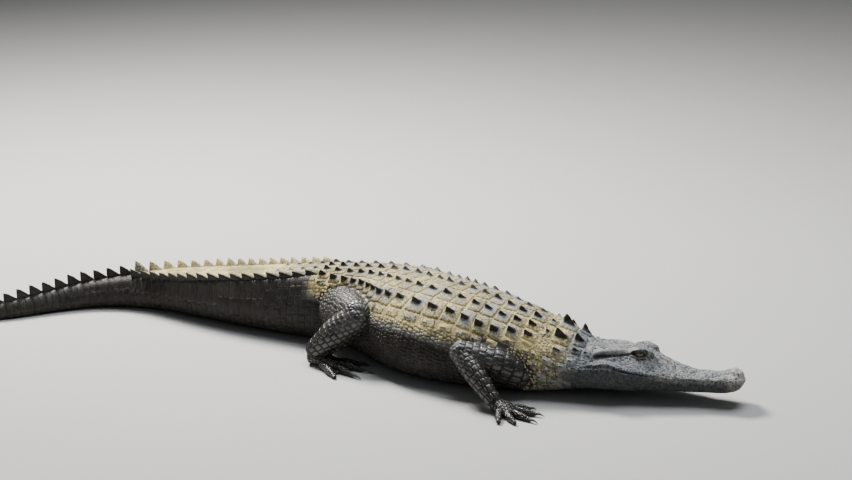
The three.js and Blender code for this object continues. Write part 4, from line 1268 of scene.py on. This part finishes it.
def teeth():
    """The upper teeth that show along the shut mouth."""
    parts = []
    fine = np.linspace(0, 1, 500)
    for station in TOOTH_STATIONS:
        y, z, _, _ = core(np.full_like(fine, float(station)), fine)
        lip = float(np.interp(-mouth_line(station), -z, y))
        size = float(tooth_size(station)) * TOOTH_SHARE
        for side in (1, -1):
            foot = place(float(station), side * (lip - 4.4), float(mouth_line(station)) + 3)
            tip = place(float(station) + 1.5, side * (lip - 4.0), float(mouth_line(station)) - size * 3.4)
            parts.append(cone(foot, tip, size, 0.5))
    return new_object("teeth", *merge(parts))


def claws():
    """All claws as one mesh."""
    parts = []
    for limb in LIMBS.values():
        parts += [cone(foot, tip, radius, 5.0) for foot, tip, radius in limb["claws"]]
    return new_object("claws", *merge(parts))


# How far the pupils are turned forwards, in degrees, and the room between an eye and its lids.
GAZE_FORWARD = 20
EYE_GAP = 0.6


def eyeball(side):
    """The ball of an eye, with its map from the middle of the pupil outwards."""
    rows, cols = 40, 56
    polar = np.linspace(0, math.pi, rows + 1)[1:-1]
    angle = np.arange(cols) / cols * 2 * math.pi
    pp, aa = np.meshgrid(polar, angle, indexing="ij")
    out, ahead, up = np.cos(pp), np.sin(pp) * np.cos(aa), np.sin(pp) * np.sin(aa)
    flat = [np.concatenate([[first], v.ravel(), [last]]) for v, first, last in
            ((out, 1, -1), (ahead, 0, 0), (up, 0, 0))]
    look = math.radians(GAZE_FORWARD)
    r = EYE_RADIUS - EYE_GAP
    sideways = flat[0] * math.cos(look) - flat[1] * math.sin(look)
    forward = flat[0] * math.sin(look) + flat[1] * math.cos(look)
    points = place(EYE[0] - forward * r, side * (EYE[1] + sideways * r), EYE[2] + flat[2] * r)
    middle = rows - 1
    faces = [tuple(1 + i for i in f) for f in grid_faces(middle, cols).tolist()]
    end = 1 + middle * cols
    faces += [(0, 1 + k, 1 + (k + 1) % cols) for k in range(cols)]
    faces += [(end, end - cols + (k + 1) % cols, end - cols + k) for k in range(cols)]
    if side < 0:
        faces = [tuple(reversed(f)) for f in faces]
    marks = np.stack([flat[0], flat[1], flat[2]], -1) * 0.5 + 0.5
    return new_object("eye_" + ("right" if side > 0 else "left") + "_ball", points, faces, None, marks)


# Materials.
class Nodes:
    """Short calls for building one material's nodes."""

    def __init__(self, name, roughness):
        self.material = bpy.data.materials.new(name)
        self.material.use_nodes = True
        self.tree = self.material.node_tree
        self.shader = self.tree.nodes["Principled BSDF"]
        self.shader.inputs["Roughness"].default_value = roughness
        self.place = self.node("ShaderNodeTexCoord").outputs["Object"]

    def node(self, kind, **values):
        made = self.tree.nodes.new(kind)
        for key, value in values.items():
            setattr(made, key, value)
        return made

    def link(self, source, target):
        self.tree.links.new(source, target)

    def noise(self, scale, detail=4.0, rough=0.6):
        made = self.node("ShaderNodeTexNoise")
        self.link(self.place, made.inputs["Vector"])
        made.inputs["Scale"].default_value = scale
        made.inputs["Detail"].default_value = detail
        made.inputs["Roughness"].default_value = rough
        return made.outputs["Fac"]

    def cells(self, scale):
        made = self.node("ShaderNodeTexVoronoi", feature="DISTANCE_TO_EDGE")
        self.link(self.place, made.inputs["Vector"])
        made.inputs["Scale"].default_value = scale
        return made.outputs["Distance"]

    def math(self, kind, a, b=None, clamp=False):
        made = self.node("ShaderNodeMath", operation=kind, use_clamp=clamp)
        for k, value in enumerate((a, b)):
            if value is None:
                continue
            if isinstance(value, (int, float)):
                made.inputs[k].default_value = value
            else:
                self.link(value, made.inputs[k])
        return made.outputs[0]

    def remap(self, value, low, high, new_low=0.0, new_high=1.0):
        made = self.node("ShaderNodeMapRange", clamp=True)
        self.link(value, made.inputs["Value"])
        for key, v in (("From Min", low), ("From Max", high), ("To Min", new_low), ("To Max", new_high)):
            made.inputs[key].default_value = v
        return made.outputs[0]

    def add(self, a, b):
        return self.math("ADD", a, b)

    def times(self, a, b):
        return self.math("MULTIPLY", a, b)

    def mix(self, factor, a, b, kind="MIX"):
        made = self.node("ShaderNodeMix", data_type="RGBA", blend_type=kind)
        for key, value in ((0, factor), (6, a), (7, b)):
            if isinstance(value, (int, float)):
                made.inputs[key].default_value = value
            elif isinstance(value, tuple):
                made.inputs[key].default_value = (*value, 1.0)
            else:
                self.link(value, made.inputs[key])
        return made.outputs[2]

    def marks(self):
        """The dust, dark (damp hide, painted shade and painted sheen), head and tone channels that the meshes
        carry.
        """
        attribute = self.node("ShaderNodeAttribute", attribute_name="Marks")
        split = self.node("ShaderNodeSeparateColor")
        self.link(attribute.outputs["Color"], split.inputs["Color"])
        return split.outputs[0], split.outputs[1], split.outputs[2], attribute.outputs["Alpha"]

    def finish(self, color, roughness=None, height=None, depth=0.001, strength=1.0):
        self.link(color, self.shader.inputs["Base Color"])
        if roughness is not None:
            self.link(roughness, self.shader.inputs["Roughness"])
        if height is not None:
            raised = self.node("ShaderNodeBump")
            raised.inputs["Strength"].default_value = strength
            raised.inputs["Distance"].default_value = depth
            self.link(height, raised.inputs["Height"])
            self.link(raised.outputs["Normal"], self.shader.inputs["Normal"])
        return self.material


PLATE_GREY = (0.125, 0.126, 0.124)
PLATE_PALE = (0.330, 0.325, 0.300)
DUST = (0.640, 0.530, 0.245)
DUST_OLIVE = (0.270, 0.225, 0.105)
# Dark colours for damp hide and for painted shade alike.
WET_AND_SHADE_DARK = (0.006, 0.006, 0.006)
WET_AND_SHADE_BROWN = (0.034, 0.026, 0.017)
HEAD_GREY = (0.180, 0.198, 0.212)
HEAD_DARK = (0.042, 0.047, 0.053)
TIP_TAN = (0.520, 0.490, 0.440)
DRY_ROUGHNESS = 0.62
# The depth of the finest wrinkles, in metres.
WRINKLE_DEPTH = 0.0006


def hide(name, grain=1.0, wet_shine=0.36, specular=0.2):
    """Scaly hide: grey plates, yellow dust, a blue grey head, and dark damp hide with painted shade and
    painted sheen, by the marks.
    """
    n = Nodes(name, 0.6)
    dust, wet_and_painted_light, head, tone = n.marks()
    blotch, fine, grit, speck = n.noise(9.0), n.noise(60.0, 3.0), n.noise(150.0, 3.0), n.noise(330.0, 2.0)
    plate = n.mix(n.remap(n.add(n.times(tone, 0.55), n.times(grit, 0.9)), 0.45, 1.05), PLATE_GREY, PLATE_PALE)
    powder = n.mix(n.remap(n.add(blotch, n.times(grit, 0.6)), 0.66, 0.92), DUST_OLIVE, DUST)
    patchy = n.add(dust, n.times(n.math("SUBTRACT", grit, 0.5), 1.8))
    patchy = n.times(n.remap(patchy, 0.22, 0.66), n.remap(dust, 0.02, 0.15))
    color = n.mix(patchy, plate, powder)
    mottle = n.add(n.add(grit, speck), n.times(tone, 0.45))
    skull = n.mix(n.remap(mottle, 0.88, 1.45), HEAD_DARK, HEAD_GREY)
    pale = n.add(dust, n.times(n.math("SUBTRACT", fine, 0.5), 0.8))
    skull = n.mix(n.remap(pale, 0.15, 0.9, 0.0, 0.75), skull, TIP_TAN)
    color = n.mix(head, color, skull)
    # The marks' second channel darkens the hide towards these colours, for damp hide and for painted shade
    # alike, and painted sheen lowers it.
    wet_and_shade_colour = n.mix(n.remap(fine, 0.35, 0.7), WET_AND_SHADE_DARK, WET_AND_SHADE_BROWN)
    wet_and_shade_share = n.remap(n.add(wet_and_painted_light, n.times(n.math("SUBTRACT", grit, 0.5), 0.5)), 0.15, 0.85)
    color = n.mix(n.times(wet_and_shade_share, 0.97), color, wet_and_shade_colour)
    shade = n.times(n.remap(speck, 0.3, 0.7, 0.72, 1.25), n.remap(grit, 0.3, 0.62, 0.62, 1.1))
    color = n.mix(1.0, color, shade, "MULTIPLY")
    shine = n.remap(wet_and_painted_light, 0.3, 1.0, DRY_ROUGHNESS, wet_shine)
    rough = n.math("ADD", shine, n.remap(fine, 0.3, 0.7, -0.05, 0.08), clamp=True)
    wrinkle = n.add(n.times(n.remap(n.cells(420.0), 0.0, 0.12), 0.5), n.times(speck, 0.5))
    n.shader.inputs["Specular IOR Level"].default_value = specular
    return n.finish(color, rough, wrinkle, WRINKLE_DEPTH * grain, 0.5)


def eye_material():
    """Gold brown iris round an upright slit."""
    n = Nodes("alligator_eye", 0.06)
    # The marks hold the ball's outward, forward and upward directions.
    _, first, second, _ = n.marks()
    ahead = n.times(n.math("SUBTRACT", first, 0.5), 2.0)
    up = n.times(n.math("SUBTRACT", second, 0.5), 2.0)
    radius = n.math("SQRT", n.add(n.times(ahead, ahead), n.times(up, up)))
    slit = n.add(n.math("ABSOLUTE", ahead), n.times(n.times(up, up), 0.25))
    streak = n.noise(420.0, 3.0)
    iris = n.mix(n.remap(streak, 0.35, 0.65), (0.022, 0.013, 0.005), (0.085, 0.052, 0.018))
    iris = n.mix(n.remap(radius, 0.40, 0.62), iris, (0.05, 0.035, 0.018))
    color = n.mix(n.remap(slit, 0.07, 0.12), (0.003, 0.003, 0.003), iris)
    color = n.mix(n.remap(radius, 0.68, 0.8), color, (0.03, 0.026, 0.022))
    n.shader.inputs["Coat Weight"].default_value = 1.0
    n.shader.inputs["Coat Roughness"].default_value = 0.03
    return n.finish(color)


def horn(name, light, dark, roughness):
    """Streaked teeth or claws."""
    n = Nodes(name, roughness)
    color = n.mix(n.remap(n.noise(140.0), 0.35, 0.68), dark, light)
    rough = n.remap(n.noise(300.0), 0.3, 0.7, roughness - 0.06, roughness + 0.1)
    return n.finish(color, rough, n.noise(500.0), 0.0004)


# Putting it together.
FLESH = ["head", "lower_jaw", "ear_left", "ear_right", "neck", "torso"]
FLESH += ["tail_base", "tail_middle", "tail_rear", "tail_tip"]
FLESH += [f"{part}_{side}" for part in ("upper_arm", "forearm", "forefoot", "thigh", "shank", "hindfoot")
          for side in ("left", "right")]
HIDE = hide("alligator_hide")
WET_HIDE = hide("alligator_wet_hide", 0.7, 0.17, 0.8)


def mark_skin(body, weight, grid):
    """Gives the skin the same marks as its scales, by finding each vertex's place on the body or a leg, with
    painted shade between the scales beside the shield and in the folds where the legs join.
    """
    body_points, station, share = grid
    leg_points = np.concatenate([
        part.point(*np.meshgrid(np.linspace(-0.12, 1.16, 30), np.linspace(0, 2 * math.pi, 24, endpoint=False),
                                indexing="ij")).reshape(-1, 3)
        for limb in LIMBS.values() for part in limb["parts"] + limb["toes"]])
    tree = KDTree(len(body_points) + len(leg_points))
    body_values = body_marks(station, share, 0.5)
    # Painted shade on the skin between the flank's scales, beside the shield.
    edge = (lean(station) * np.sign(share) + column_width(station) * (2 + EDGE_COLUMN)) / half_girth(station)
    shade_between_scales = smooth(np.abs(share), edge - 0.01, edge + 0.02)
    shade_between_scales *= smooth(station, 520, 600) * smooth(station, 1580, 1550)
    body_values[:, 1] = np.maximum(body_values[:, 1], 0.55 * shade_between_scales)
    leg_values = limb_marks(leg_points, 0.5, 0.0)
    for k, co in enumerate(np.concatenate([body_points, to_metres(leg_points)])):
        tree.insert(co, k)
    tree.balance()
    values = np.concatenate([body_values, leg_values])
    found = [tree.find_n(co, 3) for co in vertices(body)]
    index = np.array([[f[1] for f in three] for three in found])
    near = 1 / (np.array([[f[2] for f in three] for three in found]) + 0.0003) ** 2
    marks = (values[index] * near[..., None]).sum(1) / near.sum(1)[:, None]
    # Painted shade in the folds where the legs join the body.
    fold = smooth(weight, 0.1, 0.7)
    marks[:, 0] *= 1 - 0.85 * fold
    marks[:, 1] = np.maximum(marks[:, 1], 0.85 * fold)
    set_marks(body.data, marks)


def dress(obj, material, slot, *nodes):
    """Gives a piece its material and body, and hides the solids that it replaces. slot is not used."""
    obj.data.materials.clear()
    obj.data.materials.append(material)
    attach(obj, "root")
    if nodes:
        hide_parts(*nodes)
    return obj


mark_skin(SKIN, SEAM_WEIGHT, BODY_GRID)
dress(SKIN, HIDE, "back_hide", *FLESH)
dress(shield_coat().build("shield_plates"), HIDE, "back_hide")
dress(neck_coat().build("neck_plates"), HIDE, "back_hide")
dress(crest_coat().build("tail_crests"), HIDE, "back_hide")
dress(tail_coat().build("tail_plates"), HIDE, "back_hide")
dress(flank_coat(1).build("flank_scales_right"), HIDE, "back_hide")
dress(flank_coat(-1).build("flank_scales_left"), HIDE, "back_hide")
dress(belly_coat().build("belly_plates"), HIDE, "back_hide")
dress(head_coat().build("head_scales"), HIDE, "head_hide")
for number, (name, limb) in enumerate(LIMBS.items()):
    home = (0.03 + 0.48 * (number % 2), 0.58 + 0.2 * (number // 2))
    dress(limb_coat(name, limb, home).build(name + "_scales"), WET_HIDE, "limb_hide")
TOOTH = horn("alligator_tooth", (0.34, 0.29, 0.20), (0.18, 0.14, 0.08), 0.35)
dress(teeth(), TOOTH, "head_hide")
CLAW = horn("alligator_claw", (0.045, 0.040, 0.034), (0.015, 0.013, 0.011), 0.3)
dress(claws(), CLAW, "limb_hide")
EYE_MATERIAL = eye_material()
for side, node in ((1, "eye_right"), (-1, "eye_left")):
    dress(eyeball(side), EYE_MATERIAL, "eye", node)


# The stage.
PHOTO_WIDTH = 852
SENSOR = 36
CAMERA_DISTANCE = 7.0


def stage():
    """The pale floor, three soft lamps and the camera."""
    bpy.ops.mesh.primitive_plane_add(size=60, location=(0, 0, 0))
    floor = bpy.context.object
    floor.name = "floor"
    n = Nodes("pale_floor", 0.9)
    floor.data.materials.append(n.finish(n.mix(n.noise(0.6), (0.43, 0.425, 0.415), (0.47, 0.465, 0.45))))

    def lamp(name, size, power, spot, aim, tint):
        data = bpy.data.lights.new(name, "AREA")
        data.shape, data.size, data.energy, data.color = "DISK", size, power, tint
        obj = bpy.data.objects.new(name, data)
        bpy.context.scene.collection.objects.link(obj)
        obj.location = spot
        obj.rotation_euler = (Vector(aim) - Vector(spot)).to_track_quat("-Z", "Y").to_euler()
    lamp("key", 1.5, 720, (-1.3, 2.7, 4.0), (0.0, 0, 0.1), (1.0, 0.97, 0.92))
    lamp("sky", 3.2, 200, (1.4, 0.4, 4.4), (0.1, 0, 0.1), (0.90, 0.95, 1.0))
    lamp("fill", 3.2, 4, (-0.8, -4.6, 2.6), (0, 0, 0.1), (0.93, 0.97, 1.0))
    world = bpy.data.worlds.new("studio")
    bpy.context.scene.world = world
    world.use_nodes = True
    glow = world.node_tree.nodes["Background"]
    glow.inputs["Color"].default_value = (0.80, 0.84, 0.88, 1)
    glow.inputs["Strength"].default_value = 0.16

    # The camera looks from the animal's right side, about 20 degrees above the floor, at a spot of the trunk.
    # That spot lies left of and below the middle of the frame, by pixels of the photo.
    focus, aside, below = 2038.0, 61, 119
    tilt = math.radians(20)
    target = Vector(SHIFT) + Vector((-1.215, 0.461, 0))
    ahead, up = Vector((0, math.cos(tilt), -math.sin(tilt))), Vector((0, math.sin(tilt), math.cos(tilt)))
    data = bpy.data.cameras.new("camera")
    camera = bpy.data.objects.new("camera", data)
    bpy.context.scene.collection.objects.link(camera)
    camera.location = target - CAMERA_DISTANCE * ahead
    gaze = focus * ahead + aside * Vector((1, 0, 0)) + below * up
    camera.rotation_euler = gaze.to_track_quat("-Z", "Y").to_euler()
    data.sensor_width, data.lens = SENSOR, SENSOR * gaze.length / PHOTO_WIDTH
    bpy.context.scene.camera = camera


stage()
